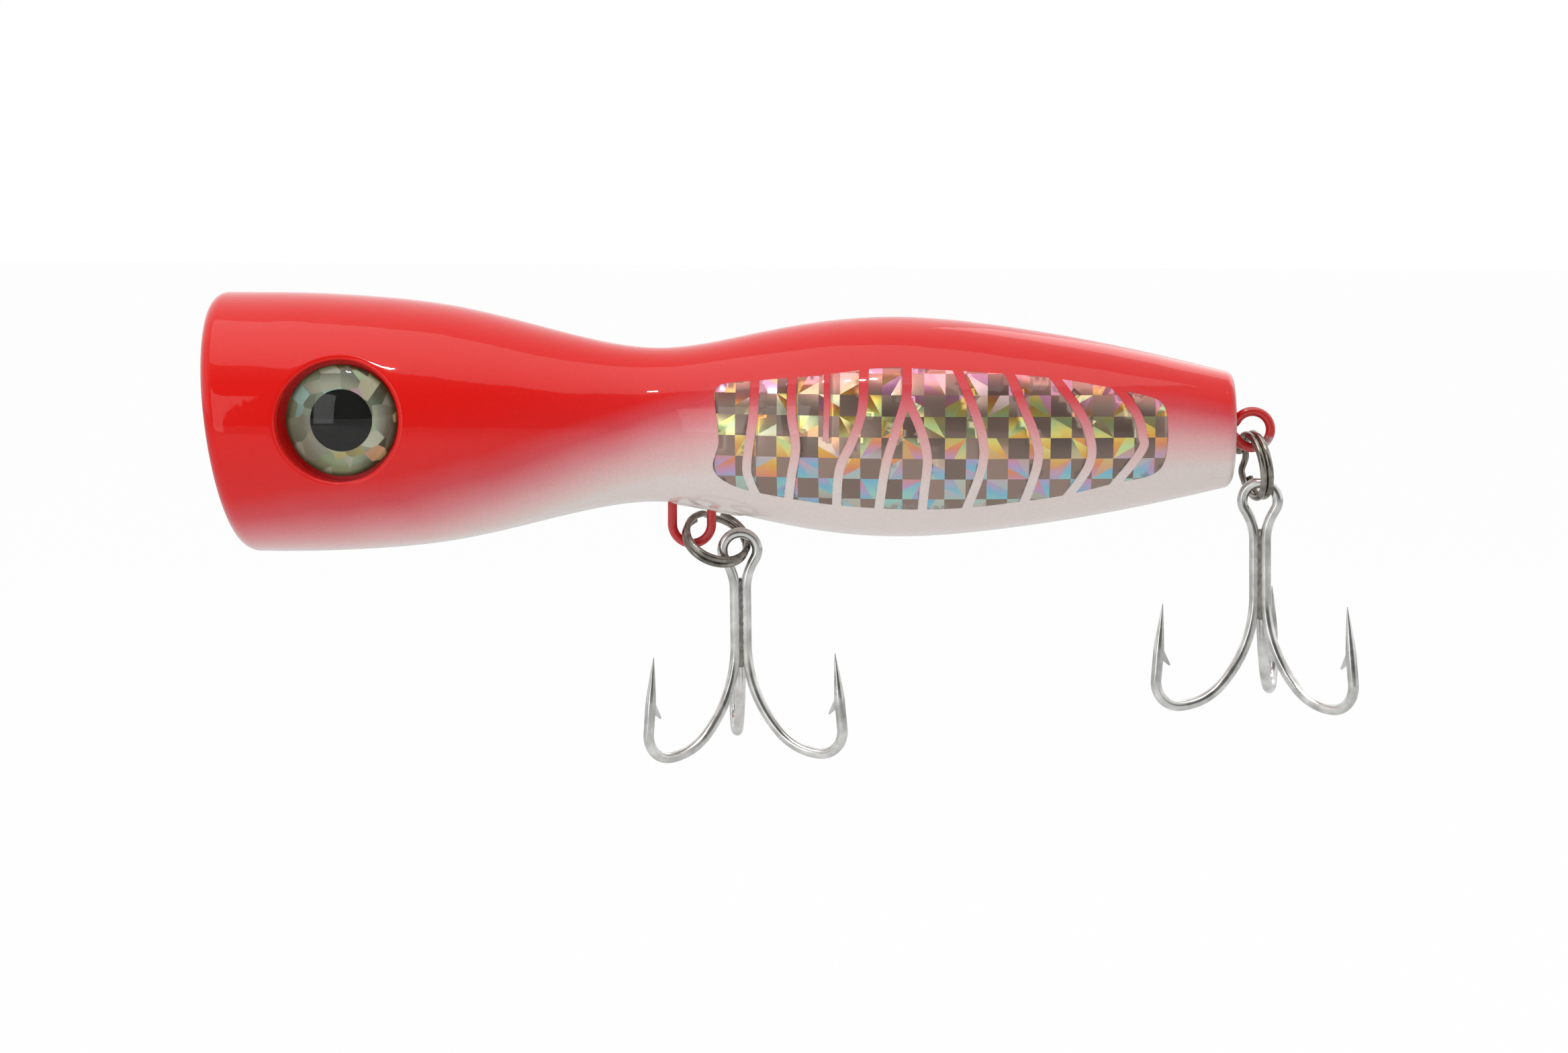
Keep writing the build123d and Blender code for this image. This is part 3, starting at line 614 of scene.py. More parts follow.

# %% [markdown]
# ## Eyes
# A lure eye is a printed foil disc under a cast drop of clear resin, on a foam pad. The dome bends
# light, so the iris is modelled as its own disc below it, and real refraction does most of the rest.
# The foil of the iris is crazed into shards of 2 to 3 mm: a Voronoi pattern gives each its colour.
# A darker olive ring at the iris's edge is painted shade: it stands for the dome's side wall seen through the
# resin.

# %% Iris, pupil, dome and pad materials
iris, tree, shader = new_material("crazed_foil_iris")
place = add(tree, "ShaderNodeTexCoord").outputs["Object"]
centred = add(
    tree, "ShaderNodeVectorMath", {0: place, 1: (EYE_X * MM, 0, EYE_Z * MM)}, operation="SUBTRACT"
)
flat_place = add(tree, "ShaderNodeVectorMath", {0: centred, 1: (1, 0, 1)}, operation="MULTIPLY")
shards = add(
    tree, "ShaderNodeTexVoronoi", {"Vector": flat_place, "Scale": 1 / (2.3 * MM), "Randomness": 1.0}
)
pick = add(tree, "ShaderNodeSeparateColor", {0: shards.outputs["Color"]})
SHARDS = [
    (0.0, "98A68C"), (0.2, "B8BCA8"), (0.34, "A6B29A"), (0.46, "C9CDB8"), (0.56, "E2C4CC"),
    (0.64, "B4DCD4"), (0.72, "D6D2B4"), (0.80, "E4DA94"), (0.87, "E4B48C"), (0.94, "CCE4B4"),
]
tone = add(tree, "ShaderNodeValToRGB", {0: pick.outputs[0]}, stops=SHARDS)
tone.color_ramp.interpolation = "CONSTANT"
# Painted shade: the olive ring that darkens the iris from 6.6 to 7.2 mm out stands for the dome's side wall seen
# through the resin.
out = add(tree, "ShaderNodeVectorMath", {0: flat_place}, operation="LENGTH")
rim = add(tree, "ShaderNodeMapRange", {0: out.outputs["Value"], 1: 6.6 * MM, 2: 7.2 * MM, 4: 0.85})
tone = add(
    tree, "ShaderNodeMix", {0: rim.outputs[0], 6: tone.outputs[0], 7: colour("5E6B3A")},
    data_type="RGBA",
)
normal = add(tree, "ShaderNodeNewGeometry").outputs["Normal"]
lean = add(
    tree, "ShaderNodeVectorMath", {0: shards.outputs["Color"], 1: (0.5, 0.5, 0.5)}, operation="SUBTRACT"
)
lean = add(tree, "ShaderNodeVectorMath", {0: lean, "Scale": 0.3}, operation="SCALE")
lean = add(tree, "ShaderNodeVectorMath", {0: normal, 1: lean}, operation="ADD")
lean = add(tree, "ShaderNodeVectorMath", {0: lean}, operation="NORMALIZE")
connect(tree, shader, Base_Color=tone.outputs[2], Metallic=0.7, Roughness=0.3, Normal=lean)

ink, tree, shader = new_material("screen_printed_ink")
place = add(tree, "ShaderNodeTexCoord").outputs["Object"]
grain = add(tree, "ShaderNodeTexNoise", {"Vector": place, "Scale": 1 / (0.5 * MM)})
tone = add(tree, "ShaderNodeValToRGB", {0: grain.outputs[0]}, stops=[(0.3, "050805"), (0.7, "0C100C")])
connect(tree, shader, Base_Color=tone, Roughness=0.55, Specular_IOR_Level=0.2)

resin, tree, shader = new_material("cast_clear_resin")
place = add(tree, "ShaderNodeTexCoord").outputs["Object"]
ripple = add(tree, "ShaderNodeTexNoise", {"Vector": place, "Scale": 1 / (4 * MM), "Detail": 0.0})
ripple = add(tree, "ShaderNodeBump", {"Strength": 0.2, "Distance": 0.1 * MM, "Height": ripple.outputs[0]})
connect(
    tree, shader, Base_Color=colour("FDFCF6"), Roughness=0.015, IOR=1.45, Transmission_Weight=1.0,
    Specular_IOR_Level=0.2, Normal=ripple,
)

foam, tree, shader = new_material("closed_cell_foam")
place = add(tree, "ShaderNodeTexCoord").outputs["Object"]
pores = add(tree, "ShaderNodeTexVoronoi", {"Vector": place, "Scale": 1 / (0.25 * MM)})
tone = add(tree, "ShaderNodeValToRGB", {0: pores.outputs[0]}, stops=[(0.0, "D9D6CE"), (0.8, "F0EEE8")])
connect(tree, shader, Base_Color=tone, Roughness=0.85)
print("iris shards:", len(SHARDS), "colours")

# %% Turn the discs and the dome
EYE_R, PUPIL_R, IRIS_FOOT, IRIS_TOP, PUPIL_TOP = 7.5, 3.95, 12.9, 13.02, 13.10
DOME_WALL, DOME_RISE, EYE_STEPS = 0.55, 2.3, 96


def turned_eye(name, profile, side, material, node, sharp=35):
    """A piece turned about the eye's axis from (radius, height) points, pole to pole."""
    points, faces = [], []
    for r, y in profile[1:-1]:
        for k in range(EYE_STEPS):
            t = 2 * math.pi * k / EYE_STEPS
            points.append((EYE_X + r * math.cos(t), side * y, EYE_Z + r * math.sin(t)))
    for i in range(len(profile) - 3):
        for k in range(EYE_STEPS):
            n = (k + 1) % EYE_STEPS
            a, b = i * EYE_STEPS, (i + 1) * EYE_STEPS
            faces.append((a + k, a + n, b + n, b + k))
    for pole, row in ((profile[0], 0), (profile[-1], len(profile) - 3)):
        points.append((EYE_X, side * pole[1], EYE_Z))
        for k in range(EYE_STEPS):
            faces.append((row * EYE_STEPS + k, row * EYE_STEPS + (k + 1) % EYE_STEPS, len(points) - 1))
    return new_piece(name, points, faces, material, "lure", (node,), sharp)


crown = (EYE_R**2 + DOME_RISE**2) / (2 * DOME_RISE)
spread = math.asin(EYE_R / crown)
dome_top = IRIS_TOP + DOME_WALL + DOME_RISE
for side, name in ((-1, "left"), (1, "right")):
    disc = [(0, IRIS_FOOT), (4, IRIS_FOOT), (EYE_R, IRIS_FOOT), (EYE_R, IRIS_TOP), (4, IRIS_TOP), (0, IRIS_TOP)]
    turned_eye("iris_" + name, disc, side, iris, "eye_iris_" + name)
    disc = [(0, IRIS_TOP), (2, IRIS_TOP), (PUPIL_R, IRIS_TOP), (PUPIL_R, PUPIL_TOP - 0.02)]
    disc += [(PUPIL_R - 0.03, PUPIL_TOP), (2, PUPIL_TOP), (0, PUPIL_TOP)]
    turned_eye("pupil_" + name, disc, side, ink, "eye_pupil_" + name)
    # The dome's foot lies just below the iris face, so no film of air shows between them.
    dome = [(0, IRIS_TOP - 0.01), (4, IRIS_TOP - 0.01), (EYE_R - 0.05, IRIS_TOP - 0.01)]
    dome += [(EYE_R, IRIS_TOP + 0.05), (EYE_R, IRIS_TOP + DOME_WALL - 0.12)]
    for k in range(17):
        t = spread * (1 - k / 17) * (0.985 if k == 0 else 1)
        dome.append((crown * math.sin(t), dome_top - crown * (1 - math.cos(t))))
    turned_eye("dome_" + name, [*dome, (0, dome_top)], side, resin, "eye_dome_" + name, 50)
print("dome height:", round(dome_top - IRIS_TOP, 2), "mm")

# %% [markdown]
# ## Metals
# Split rings are stainless wire with a dark nickel finish. The trebles are high-carbon wire
# with a bright tin plating, a little cloudy, with drawing marks along the wire. The braze between
# the three shanks is a duller grey. Roughness and small colour drifts tell them apart.

# %% Ring, hook, braze, wire and ballast finishes
METALS = {  # name: dark, light, roughness low and high, mm between marks
    "nickel_plated_spring_steel": ("6A645D", "ADA79E", 0.12, 0.28, 1.6),
    "tinned_hook_wire": ("BEBDB9", "ECEBE8", 0.12, 0.26, 2.4),
    "silver_braze": ("77736C", "A7A39B", 0.35, 0.55, 0.8),
    "cast_lead": ("5E6166", "7C7F84", 0.5, 0.7, 1.5),
}
metals = {}
for name, (dark, light, smooth, rough, size) in METALS.items():
    metals[name], tree, shader = new_material(name)
    place = add(tree, "ShaderNodeTexCoord").outputs["Object"]
    cloud = add(tree, "ShaderNodeTexNoise", {"Vector": place, "Scale": 1 / (size * MM), "Detail": 3.0})
    fine = add(tree, "ShaderNodeTexNoise", {"Vector": place, "Scale": 1 / (0.12 * MM), "Detail": 1.0})
    tone = add(tree, "ShaderNodeValToRGB", {0: cloud.outputs[0]}, stops=[(0.32, dark), (0.68, light)])
    gloss = add(tree, "ShaderNodeMapRange", {0: cloud.outputs[0], 1: 0.3, 2: 0.7, 3: smooth, 4: rough})
    marks = add(tree, "ShaderNodeBump", {"Strength": 0.15, "Distance": 0.006 * MM, "Height": fine.outputs[0]})
    connect(tree, shader, Base_Color=tone, Metallic=1.0, Roughness=gloss.outputs[0], Normal=marks)

# The through wire is painted with the body. The ring has rubbed the tail eye bare at its foot.
painted, tree, shader = new_material("lacquered_stainless_wire")
fade, place = sprayed_fade(tree)
worn = add(tree, "ShaderNodeVectorMath", {0: place, 1: (0.1378, 0, -0.0026)}, operation="DISTANCE")
scuff = add(tree, "ShaderNodeTexNoise", {"Vector": place, "Scale": 1 / (0.7 * MM), "Detail": 3.0})
scuff = add(tree, "ShaderNodeMapRange", {0: scuff.outputs[0], 3: -1.0 * MM, 4: 1.0 * MM})
worn = add(tree, "ShaderNodeMath", {0: worn.outputs["Value"], 1: scuff}, operation="ADD")
worn = add(tree, "ShaderNodeMapRange", {0: worn, 1: 1.2 * MM, 2: 1.9 * MM, 3: 1.0, 4: 0.0})
tone = add(
    tree, "ShaderNodeMix", {0: worn.outputs[0], 6: colour("CF1A17"), 7: colour("B9B5AD")},
    data_type="RGBA",
)
peel = add(tree, "ShaderNodeTexNoise", {"Vector": place, "Scale": 1 / (0.8 * MM), "Detail": 1.0})
peel = add(tree, "ShaderNodeBump", {"Strength": 0.3, "Distance": 0.05 * MM, "Height": peel.outputs[0]})
connect(
    tree, shader, Base_Color=tone.outputs[2], Metallic=worn.outputs[0], Roughness=0.3,
    Coat_Weight=0.8, Coat_Roughness=0.08, Coat_Normal=peel,
)
print("metals:", sorted(METALS))

# %% [markdown]
# ## Wire, bent like wire
# Every eye, ring and hook here is bent from round wire, so one Geometry Nodes tree makes them all:
# it takes a line of points with a radius stored on each, and sweeps a round section along it.
# The line itself is written the way a jig bends it, as straight runs and arcs.


# %% The wire tree
def wire_tree():
    """A Geometry Nodes tree that sweeps a round section along a line of points."""
    tree = bpy.data.node_groups.new("round_wire", "GeometryNodeTree")
    for label, kind in (("Line", "Geometry"), ("Sides", "Int"), ("Finish", "Material")):
        tree.interface.new_socket(label, in_out="INPUT", socket_type="NodeSocket" + kind)
    tree.interface.new_socket("Wire", in_out="OUTPUT", socket_type="NodeSocketGeometry")
    given = add(tree, "NodeGroupInput")
    line = add(tree, "GeometryNodeMeshToCurve", {"Mesh": given.outputs["Line"]})
    girth = add(tree, "GeometryNodeInputNamedAttribute", {"Name": "wire_radius"}, data_type="FLOAT")
    section = add(
        tree, "GeometryNodeCurvePrimitiveCircle",
        {"Resolution": given.outputs["Sides"], "Radius": 1.0}, mode="RADIUS",
    )
    sized = add(tree, "GeometryNodeSetCurveRadius", {"Curve": line, "Radius": girth.outputs[0]})
    swept = add(
        tree, "GeometryNodeCurveToMesh",
        {"Curve": sized, "Profile Curve": section, "Fill Caps": True},
    )
    if "Scale" in swept.inputs:
        tree.links.new(girth.outputs[0], swept.inputs["Scale"])
    real = add(tree, "GeometryNodeRealizeInstances", {0: swept})
    finished = add(
        tree, "GeometryNodeSetMaterial", {"Geometry": real, "Material": given.outputs["Finish"]}
    )
    add(tree, "NodeGroupOutput", {"Wire": finished})
    return tree


WIRE_TREE = wire_tree()


def wire_mesh(points, radii, finish, sides=28):
    """A swept wire as a plain mesh, from millimetre points and radii."""
    mesh = bpy.data.meshes.new("line")
    mesh.from_pydata([Vector(p) * MM for p in points], [(i, i + 1) for i in range(len(points) - 1)], [])
    girth = mesh.attributes.new("wire_radius", "FLOAT", "POINT")
    girth.data.foreach_set("value", [r * MM for r in radii])
    carrier = bpy.data.objects.new("carrier", mesh)
    scene.collection.objects.link(carrier)
    modifier = carrier.modifiers.new("round_wire", "NODES")
    modifier.node_group = WIRE_TREE
    for item in WIRE_TREE.interface.items_tree:
        if item.in_out == "INPUT" and item.name in ("Sides", "Finish"):
            modifier[item.identifier] = sides if item.name == "Sides" else finish
    evaluated = carrier.evaluated_get(bpy.context.evaluated_depsgraph_get())
    result = bpy.data.meshes.new_from_object(evaluated)
    bpy.data.objects.remove(carrier)
    return result


def bent(start, way, moves, step=5):
    """Runs and tangent arcs end to end. A number is a run, a pair is a radius and a turn."""
    x, y = start
    heading = math.atan2(way[1], way[0])
    made = [(x, y)]
    for move in moves:
        if isinstance(move, tuple):
            radius, turn = move[0], math.radians(move[1])
            side = math.copysign(1, turn)
            cx, cy = x - side * radius * math.sin(heading), y + side * radius * math.cos(heading)
            pieces = max(3, math.ceil(abs(move[1]) / step))
            for k in range(1, pieces + 1):
                h = heading + turn * k / pieces
                made.append((cx + side * radius * math.sin(h), cy - side * radius * math.cos(h)))
            heading += turn
        else:
            made.append((x + move * math.cos(heading), y + move * math.sin(heading)))
        x, y = made[-1]
    return made


def wire_piece(name, meshes, finish, body, replaced):
    """One piece from several swept wires and loose parts, all facing outward."""
    shape = bmesh.new()
    for mesh in meshes:
        shape.from_mesh(mesh)
    bmesh.ops.remove_doubles(shape, verts=shape.verts, dist=1e-7)
    bmesh.ops.recalc_face_normals(shape, faces=shape.faces)
    mesh = bpy.data.meshes.new(name)
    shape.to_mesh(mesh)
    shape.free()
    mesh.shade_smooth()
    mesh.set_sharp_from_angle(angle=math.radians(50))
    mesh.materials.append(finish)
    return settle(bpy.data.objects.new(name, mesh), body, replaced)


print("wire tree nodes:", len(WIRE_TREE.nodes))

# %% The through wire
WIRE_R, LEG_Z, EYE_LOOP_R, THROAT_R, TAG = 0.65, 0.68, 2.47, 1.0, 9.0
THROAT_X = math.sqrt((EYE_LOOP_R + THROAT_R) ** 2 - (LEG_Z + THROAT_R) ** 2)
THROAT_TURN = math.degrees(math.atan2(THROAT_X, LEG_Z + THROAT_R))
HANGER = Vector((59.54, 0, -13.68))
TAIL_EYE = Vector((136.12, 0, 0))
HANGER_R, HANGER_BEND_R = 2.7, 1.9
eye = [(THROAT_R, -THROAT_TURN), (EYE_LOOP_R, 180 + 2 * THROAT_TURN), (THROAT_R, -THROAT_TURN)]
front_run = HANGER.x - HANGER_R - HANGER_BEND_R - THROAT_X
leg = -HANGER.z - LEG_Z - HANGER_BEND_R
rear_run = TAIL_EYE.x - THROAT_X - HANGER.x - HANGER_R - HANGER_BEND_R
hanger = [(HANGER_BEND_R, -90), leg, (HANGER_R, 180), leg, (HANGER_BEND_R, -90)]
route = bent((THROAT_X + TAG, LEG_Z), (-1, 0), [TAG, *eye, front_run, *hanger, rear_run, *eye, TAG])
route = [(x, 0, z) for x, z in route]
wire_piece(
    "painted_through_wire", [wire_mesh(route, [WIRE_R] * len(route), painted)], painted,
    "lure", ("through_wire",),
)
print("wire points:", len(route))

# %% [markdown]
# ## Split rings
# A split ring is two flat coils of one wire with a short step between them, which is where a hook
# is threaded on. The coils lie side by side, a hair apart, and both ends are cut square.

# %% Both rings
RING_R, RING_WIRE_R, HALF_PITCH, COIL_SWEEP, STEP_SWEEP = 4.38, 0.46, 0.475, 322, 30


def ring_frame(centre, tilt, roll):
    """The ring's own axes: upright along the body, tilted tail down, then rolled over."""
    upright = Matrix(((1, 0, 0), (0, 0, 1), (0, -1, 0))).to_4x4()
    turned = Matrix.Rotation(math.radians(tilt), 4, "Z") @ Matrix.Rotation(math.radians(roll), 4, "X")
    return Matrix.Translation(centre) @ upright @ turned


def split_ring(name, body, frame_at, step_at):
    """Two coils and the step between them, swept in the ring's own plane."""
    start = step_at - STEP_SWEEP / 2 - COIL_SWEEP
    whole = 2 * COIL_SWEEP + STEP_SWEEP
    made = []
    for k in range(whole // 4 + 1):
        swept = min(k * 4, whole)
        across = min(max((swept - COIL_SWEEP) / STEP_SWEEP, 0.0), 1.0)
        lift = -HALF_PITCH + 2 * HALF_PITCH * (across * across * (3 - 2 * across))
        t = math.radians(start + swept)
        made.append(frame_at @ Vector((RING_R * math.cos(t), RING_R * math.sin(t), lift)))
    steel = metals["nickel_plated_spring_steel"]
    mesh = wire_mesh(made, [RING_WIRE_R] * len(made), steel)
    return wire_piece(name + "_wound", [mesh], steel, body, (name,))


belly_ring = ring_frame(HANGER + Vector((3.4, 0, -2.0)), 24.0, -54.3)
tail_ring = ring_frame(TAIL_EYE + Vector((0.43, 0, -4.92)), 90 - 9.8, 90 - 15.0)
split_ring("belly_split_ring", "belly_ring", belly_ring, 235)
split_ring("tail_split_ring", "tail_ring", tail_ring, 90)
print("ring centres:", [round(c, 2) for c in belly_ring.translation], [round(c, 2) for c in tail_ring.translation])

# %% [markdown]
# ## Treble hooks
# One long wire is bent into the eye and two of the hooks, and a third hook is brazed between them.
# Each point is ground to a long taper, and a barb is raised from the inside of the wire.
# The double is therefore one unbroken sweep, from point to point through the eye.

# %% Shapes shared by both trebles
HOOK_R, BUNDLE_R, SHANK_X = 0.725, 1.51 / math.sqrt(3), 0.755
HOOK_EYE_R, HOOK_THROAT_R = 2.4, 7.5
HOOK_EYE_TOP = HOOK_EYE_R + HOOK_R
THROAT_Z = -math.sqrt((HOOK_EYE_R + HOOK_THROAT_R) ** 2 - (SHANK_X + HOOK_THROAT_R) ** 2)
HOOK_THROAT_TURN = math.degrees(math.atan2(-THROAT_Z, SHANK_X + HOOK_THROAT_R))
NECK_Z = THROAT_Z - 0.4
BEND_BOTTOM_Z = HOOK_EYE_TOP - 31.6 + HOOK_R
BEND_START_Z = BEND_BOTTOM_Z + 17.0 * math.sqrt(0.5) + 8.6 * (1 - math.sqrt(0.5))
POINT_LEAN, POINT_LEG, POINT_TAPER, TIP_R = 5.5, 10.5, 6.4, 0.06
TAPER_STEPS = 12


def hook_line(top):
    """One hook in its own upright plane, as points and radii, from its top to its tip."""
    moves = [top - BEND_START_Z, (17.0, 45), (8.6, 45), (3.4, 90 + POINT_LEAN), POINT_LEG - POINT_TAPER]
    line = bent((BUNDLE_R, top), (0, -1), moves, step=4)
    radii = [HOOK_R] * len(line)
    lean = math.radians(90 + POINT_LEAN)
    x, z = line[-1]
    for k in range(1, TAPER_STEPS + 1):
        t = k / TAPER_STEPS
        line.append((x + POINT_TAPER * t * math.cos(lean), z + POINT_TAPER * t * math.sin(lean)))
        radii.append(HOOK_R + (TIP_R - HOOK_R) * t**1.15)
    return line, radii


def turned_out(line, angle):
    """Points of an upright plane that stands at an angle round the shank."""
    return [Vector((r * math.cos(angle), r * math.sin(angle), z)) for r, z in line]


def barb_mesh(tip, angle, frame_at):
    """The barb: a thin wedge raised from the inside of the point."""
    lean = math.radians(90 + POINT_LEAN)
    along = Vector((math.cos(lean), math.sin(lean)))
    inward = Vector((-math.cos(math.radians(POINT_LEAN)), -math.sin(math.radians(POINT_LEAN))))
    tip = Vector(tip)
    flat = [tip - along * 5.2, tip - along * 8.3 + inward * 1.85, tip - along * 8.45 + inward * 1.7]
    flat += [tip - along * 7.3]
    across = Vector((-math.sin(angle), math.cos(angle), 0))
    thick = (0.3, 0.1, 0.1, 0.3)
    corners = [
        frame_at @ (p + across * half * side)
        for side in (1, -1) for p, half in zip(turned_out(flat, angle), thick)
    ]
    faces = [(0, 1, 2, 3), (7, 6, 5, 4)] + [(k, k + 4, (k + 1) % 4 + 4, (k + 1) % 4) for k in range(4)]
    mesh = bpy.data.meshes.new("barb")
    mesh.from_pydata([c * MM for c in corners], [], faces)
    return mesh


def braze_mesh(frame_at):
    """The web of braze: three hollows between the wires, lumpy and feathered at its ends."""
    steps, rows = 36, 26
    top, foot = HOOK_EYE_TOP - 7.1, HOOK_EYE_TOP - 19.6
    points, faces = [], []
    for i in range(rows + 1):
        z = top + (foot - top) * i / rows
        ends = min(i, rows - i) / 3
        body = math.sqrt(min(ends, 1.0))
        for k in range(steps):
            t = 2 * math.pi * k / steps
            web = 1.12 + 0.14 * math.cos(3 * (t - math.pi / 2)) + 0.05 * math.sin(5.1 * z + 2 * t)
            radius = 0.25 + (web - 0.25) * body
            points.append(frame_at @ Vector((radius * math.cos(t), radius * math.sin(t), z)))
    for i in range(rows):
        for k in range(steps):
            n = (k + 1) % steps
            faces.append((i * steps + k, i * steps + n, (i + 1) * steps + n, (i + 1) * steps + k))
    faces += [tuple(range(steps)), tuple(rows * steps + k for k in reversed(range(steps)))]
    mesh = bpy.data.meshes.new("braze")
    mesh.from_pydata([p * MM for p in points], [], faces)
    return mesh


print("hook bottom below its eye:", round(BEND_BOTTOM_Z - HOOK_R, 2), "mm")


# %% Both trebles
def treble_frame(centre, spin, nod, sway):
    """A treble's own axes: Z up its shank, X across its eye."""
    turns = [("Y", -sway), ("X", nod), ("Z", spin)]
    placed = Matrix.Translation(centre)
    for axis, angle in turns:
        placed = placed @ Matrix.Rotation(math.radians(angle), 4, axis)
    return placed


def treble(name, frame_at):
    """The double with the eye, the third hook, their barbs and the braze."""
    tin, grey = metals["tinned_hook_wire"], metals["silver_braze"]
    side_angles = (math.radians(-30), math.radians(210))
    line, radii = hook_line(NECK_Z)
    eye = bent(
        (SHANK_X, NECK_Z), (0, 1),
        [0.4, (HOOK_THROAT_R, -HOOK_THROAT_TURN), (HOOK_EYE_R, 180 + 2 * HOOK_THROAT_TURN),
         (HOOK_THROAT_R, -HOOK_THROAT_TURN), 0.4],
    )
    eye = [Vector((x, -BUNDLE_R / 2, z)) for x, z in eye[1:-1]]
    whole = list(reversed(turned_out(line, side_angles[0]))) + eye + turned_out(line, side_angles[1])
    girths = list(reversed(radii)) + [HOOK_R] * len(eye) + radii
    meshes = [wire_mesh([frame_at @ p for p in whole], girths, tin)]
    meshes += [barb_mesh(line[-1], angle, frame_at) for angle in side_angles]
    wire_piece(name + "_double_bent", meshes, tin, name, (name + "_double",))
    line, radii = hook_line(HOOK_EYE_TOP - 8.4)
    up = math.radians(90)
    meshes = [wire_mesh([frame_at @ p for p in turned_out(line, up)], radii, tin)]
    meshes.append(barb_mesh(line[-1], up, frame_at))
    wire_piece(name + "_single_bent", meshes, tin, name, (name + "_single",))
    wire_piece(name + "_braze_web", [braze_mesh(frame_at)], grey, name, (name + "_braze",))


treble("belly_treble", treble_frame(HANGER + Vector((6.6, 0, -3.5)), 7.5, 2.0, 0.8))
treble("tail_treble", treble_frame(TAIL_EYE + Vector((1.3, 0, -9.65)), -12.5, 0.0, 1.2))

# %% [markdown]
# ## The drop of epoxy at the belly hanger
# Where the hanger comes out of the wood a drop of clear epoxy seals it. It is a shallow puddle,
# longer aft, that takes the colour of the paint below it and shows by its gloss and its soft edge.
# A puddle is a height above the body, so it is a grid of rings pushed out from the turned surface.

# %% The seal
SEAL_X, SEAL_L, SEAL_W, SEAL_T = 61.74, 5.3, 2.2, 0.5
points, faces = [], []
RING_STEPS, RING_ROWS = 64, 12
for foot in (False, True):
    for i in range(1, RING_ROWS + 1):
        s = i / RING_ROWS
        for k in range(RING_STEPS):
            t = 2 * math.pi * k / RING_STEPS
            x, y = SEAL_X + SEAL_L * s * math.cos(t), SEAL_W * s * math.sin(t)
            rise = -0.06 if foot else SEAL_T * math.sqrt(max(1 - s * s, 0)) * (0.85 + 0.1 * math.sin(x))
            radius = body_radius(x) + min(rise, SEAL_T - 0.02)
            points.append((x, y, -math.sqrt(radius**2 - y * y)))
size = RING_STEPS * RING_ROWS
for base in (0, size):
    for i in range(RING_ROWS - 1):
        for k in range(RING_STEPS):
            n = (k + 1) % RING_STEPS
            a, b = base + i * RING_STEPS, base + (i + 1) * RING_STEPS
            faces.append((a + k, a + n, b + n, b + k))
    points.append((SEAL_X, 0, -body_radius(SEAL_X) - (0.42 if base == 0 else -0.06)))
    for k in range(RING_STEPS):
        faces.append((base + k, base + (k + 1) % RING_STEPS, len(points) - 1))
last = (RING_ROWS - 1) * RING_STEPS
for k in range(RING_STEPS):
    n = (k + 1) % RING_STEPS
    faces.append((last + k, last + n, size + last + n, size + last + k))
epoxy, tree, shader = new_material("clear_epoxy_drop")
fade, place = sprayed_fade(tree)
tint = add(tree, "ShaderNodeValToRGB", {0: fade.outputs[0]}, stops=PAINT_STOPS)
ripple = add(tree, "ShaderNodeTexNoise", {"Vector": place, "Scale": 1 / (2.5 * MM)})
ripple = add(tree, "ShaderNodeBump", {"Strength": 0.4, "Distance": 0.1 * MM, "Height": ripple.outputs[0]})
connect(
    tree, shader, Base_Color=tint, Roughness=0.12, IOR=1.52, Coat_Weight=1.0, Coat_Roughness=0.02,
    Coat_Normal=ripple, Subsurface_Weight=0.2, Subsurface_Scale=0.5 * MM,
)
new_piece("hanger_epoxy_drop", points, faces, epoxy, "lure", ("hanger_seal",), 60)
print("seal:", 2 * SEAL_L, "by", 2 * SEAL_W, "mm")

# %% Parts that keep their measured shape
for node, material in (
    ("belly_ballast", metals["cast_lead"]), ("tail_ballast", metals["cast_lead"]),
    ("eye_pad_left", foam), ("eye_pad_right", foam),
):
    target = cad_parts[node]
    target.data.materials.clear()
    target.data.materials.append(material)
shown = [n for n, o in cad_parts.items() if not o.hide_render]
print("measured parts still shown:", shown)

# %% [markdown]
# ## Light, floor and camera
# A product picture on white: the background is white to the eye, but it lights the object only
# softly, and broad lamps above and beside give the long quiet highlights that gloss paint needs.
# The floor lies well below the hooks and keeps a faint shadow.

# %% World and floor
world = bpy.data.worlds.new("white_room")
scene.world = world
world.use_nodes = True
tree = world.node_tree
for old in list(tree.nodes):
    tree.nodes.remove(old)
seen = add(tree, "ShaderNodeLightPath")
either = add(
    tree, "ShaderNodeMath", {0: seen.outputs["Is Camera Ray"], 1: seen.outputs["Is Transmission Ray"]},
    operation="MAXIMUM",
)
either = add(tree, "ShaderNodeMath", {0: either, 1: seen.outputs["Is Glossy Ray"]}, operation="MAXIMUM")
# Reflections see the white room too, but its front end is dark, as a studio is behind the viewer.
toward = add(tree, "ShaderNodeTexCoord").outputs["Generated"]
toward = add(tree, "ShaderNodeSeparateXYZ", {0: toward})
front_end = add(
    tree, "ShaderNodeMapRange", {0: toward.outputs["Y"], 1: -0.2, 2: -0.85, 3: 0.0, 4: 0.86},
    interpolation_type="SMOOTHSTEP",
)
front_end = add(
    tree, "ShaderNodeMath", {0: front_end, 1: seen.outputs["Is Glossy Ray"]}, operation="MULTIPLY"
)
level = add(tree, "ShaderNodeMath", {0: 1.0, 1: front_end}, operation="SUBTRACT")
white = add(tree, "ShaderNodeBackground", {0: (1, 1, 1, 1), 1: level})
soft = add(tree, "ShaderNodeBackground", {0: colour("F4F6FA"), 1: 0.55})
sky = add(tree, "ShaderNodeMixShader", {0: either, 1: soft, 2: white})
add(tree, "ShaderNodeOutputWorld", {0: sky})

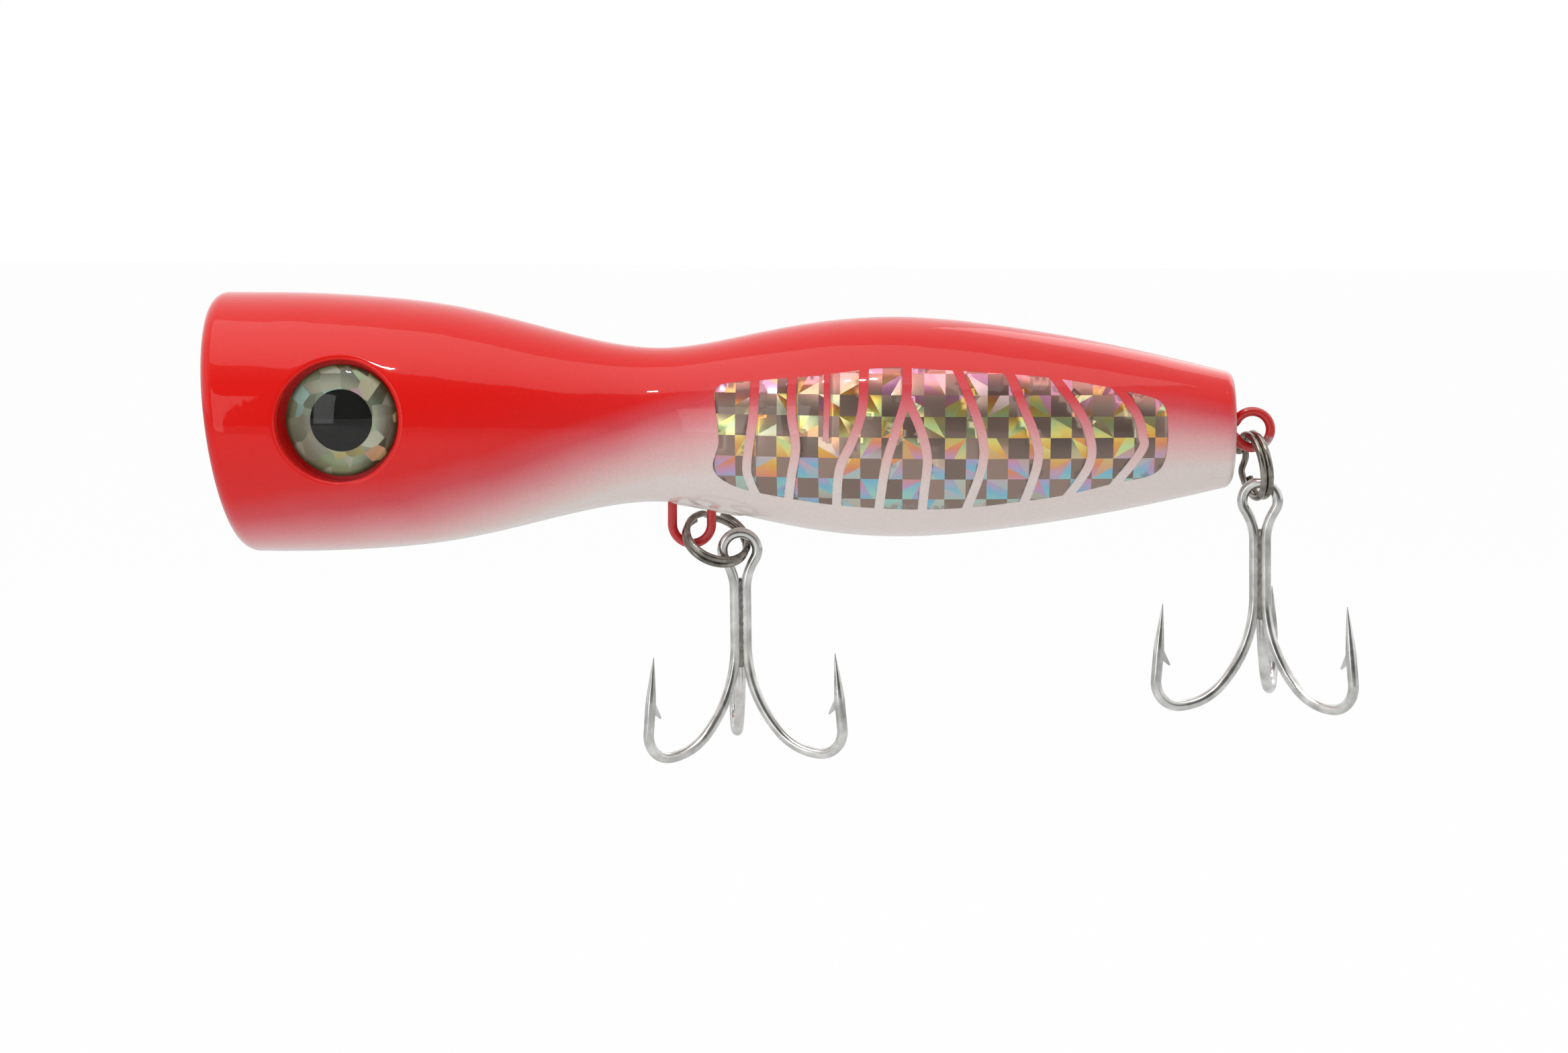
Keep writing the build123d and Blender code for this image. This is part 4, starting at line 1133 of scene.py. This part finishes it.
FLOOR_Z = -0.10
mesh = bpy.data.meshes.new("floor")
mesh.from_pydata(
    [(x, y, FLOOR_Z) for x, y in ((-6, -6), (6, -6), (6, 6), (-6, 6))], [], [(0, 1, 2, 3)]
)
floor = bpy.data.objects.new("floor", mesh)
scene.collection.objects.link(floor)
pale, tree, shader = new_material("white_card")
seen = add(tree, "ShaderNodeLightPath")
glow = add(tree, "ShaderNodeEmission", {0: (1, 1, 1, 1), 1: 1.0})
lit = add(tree, "ShaderNodeMath", {0: seen.outputs["Is Camera Ray"], 1: 0.972}, operation="MULTIPLY")
share = add(tree, "ShaderNodeMixShader", {0: lit, 1: shader, 2: glow})
tree.links.new(share.outputs[0], tree.nodes["Material Output"].inputs["Surface"])
connect(tree, shader, Base_Color=colour("F2F2F0"), Roughness=0.9)
mesh.materials.append(pale)
print("floor at", FLOOR_Z)

# %% Lamps
LAMPS = [  # name, place in metres, size, watts
    ("overhead_softbox", (0.02, -0.16, 0.55), (0.70, 0.50), 1.2),
    ("front_softbox", (-0.30, -0.60, 0.12), (0.30, 0.40), 0.55),
    ("rear_softbox", (0.35, 0.45, 0.35), (0.40, 0.40), 0.5),
    ("small_high_lamp", (-0.006, -0.357, 0.493), (0.05, 0.012), 0.30),
]
for name, at, (wide, tall), watts in LAMPS:
    data = bpy.data.lights.new(name, "AREA")
    data.shape, data.size, data.size_y, data.energy = "RECTANGLE", wide, tall, watts
    lamp = bpy.data.objects.new(name, data)
    scene.collection.objects.link(lamp)
    toward = Vector((0.065, 0, -0.01)) - Vector(at)
    lamp.matrix_world = Matrix.Translation(at) @ toward.to_track_quat("-Z", "Y").to_matrix().to_4x4()
print("lamps:", len(LAMPS))

# %% Camera
TARGET = Vector((0.072253, 0, -0.013928))
AZIMUTH, ELEVATION, DISTANCE, ROLL = math.radians(2.7), math.radians(6.0), 0.425, math.radians(0.276)
away = Vector((
    math.sin(AZIMUTH) * math.cos(ELEVATION), -math.cos(AZIMUTH) * math.cos(ELEVATION), math.sin(ELEVATION),
))
right = (-away).cross(Vector((0, 0, 1))).normalized()
up = right.cross(-away)
right, up = (
    right * math.cos(ROLL) + up * math.sin(ROLL), up * math.cos(ROLL) - right * math.sin(ROLL)
)
lens = bpy.data.cameras.new("camera")
lens.lens, lens.sensor_width, lens.clip_start = 70.8, 36, 0.01
camera = bpy.data.objects.new("camera", lens)
scene.collection.objects.link(camera)
camera.matrix_world = Matrix.Translation(TARGET + away * DISTANCE) @ Matrix(
    (right, up, away)
).transposed().to_4x4()
scene.camera = camera
scene.view_settings.view_transform = "Standard"
print("camera at", [round(c, 4) for c in camera.location])
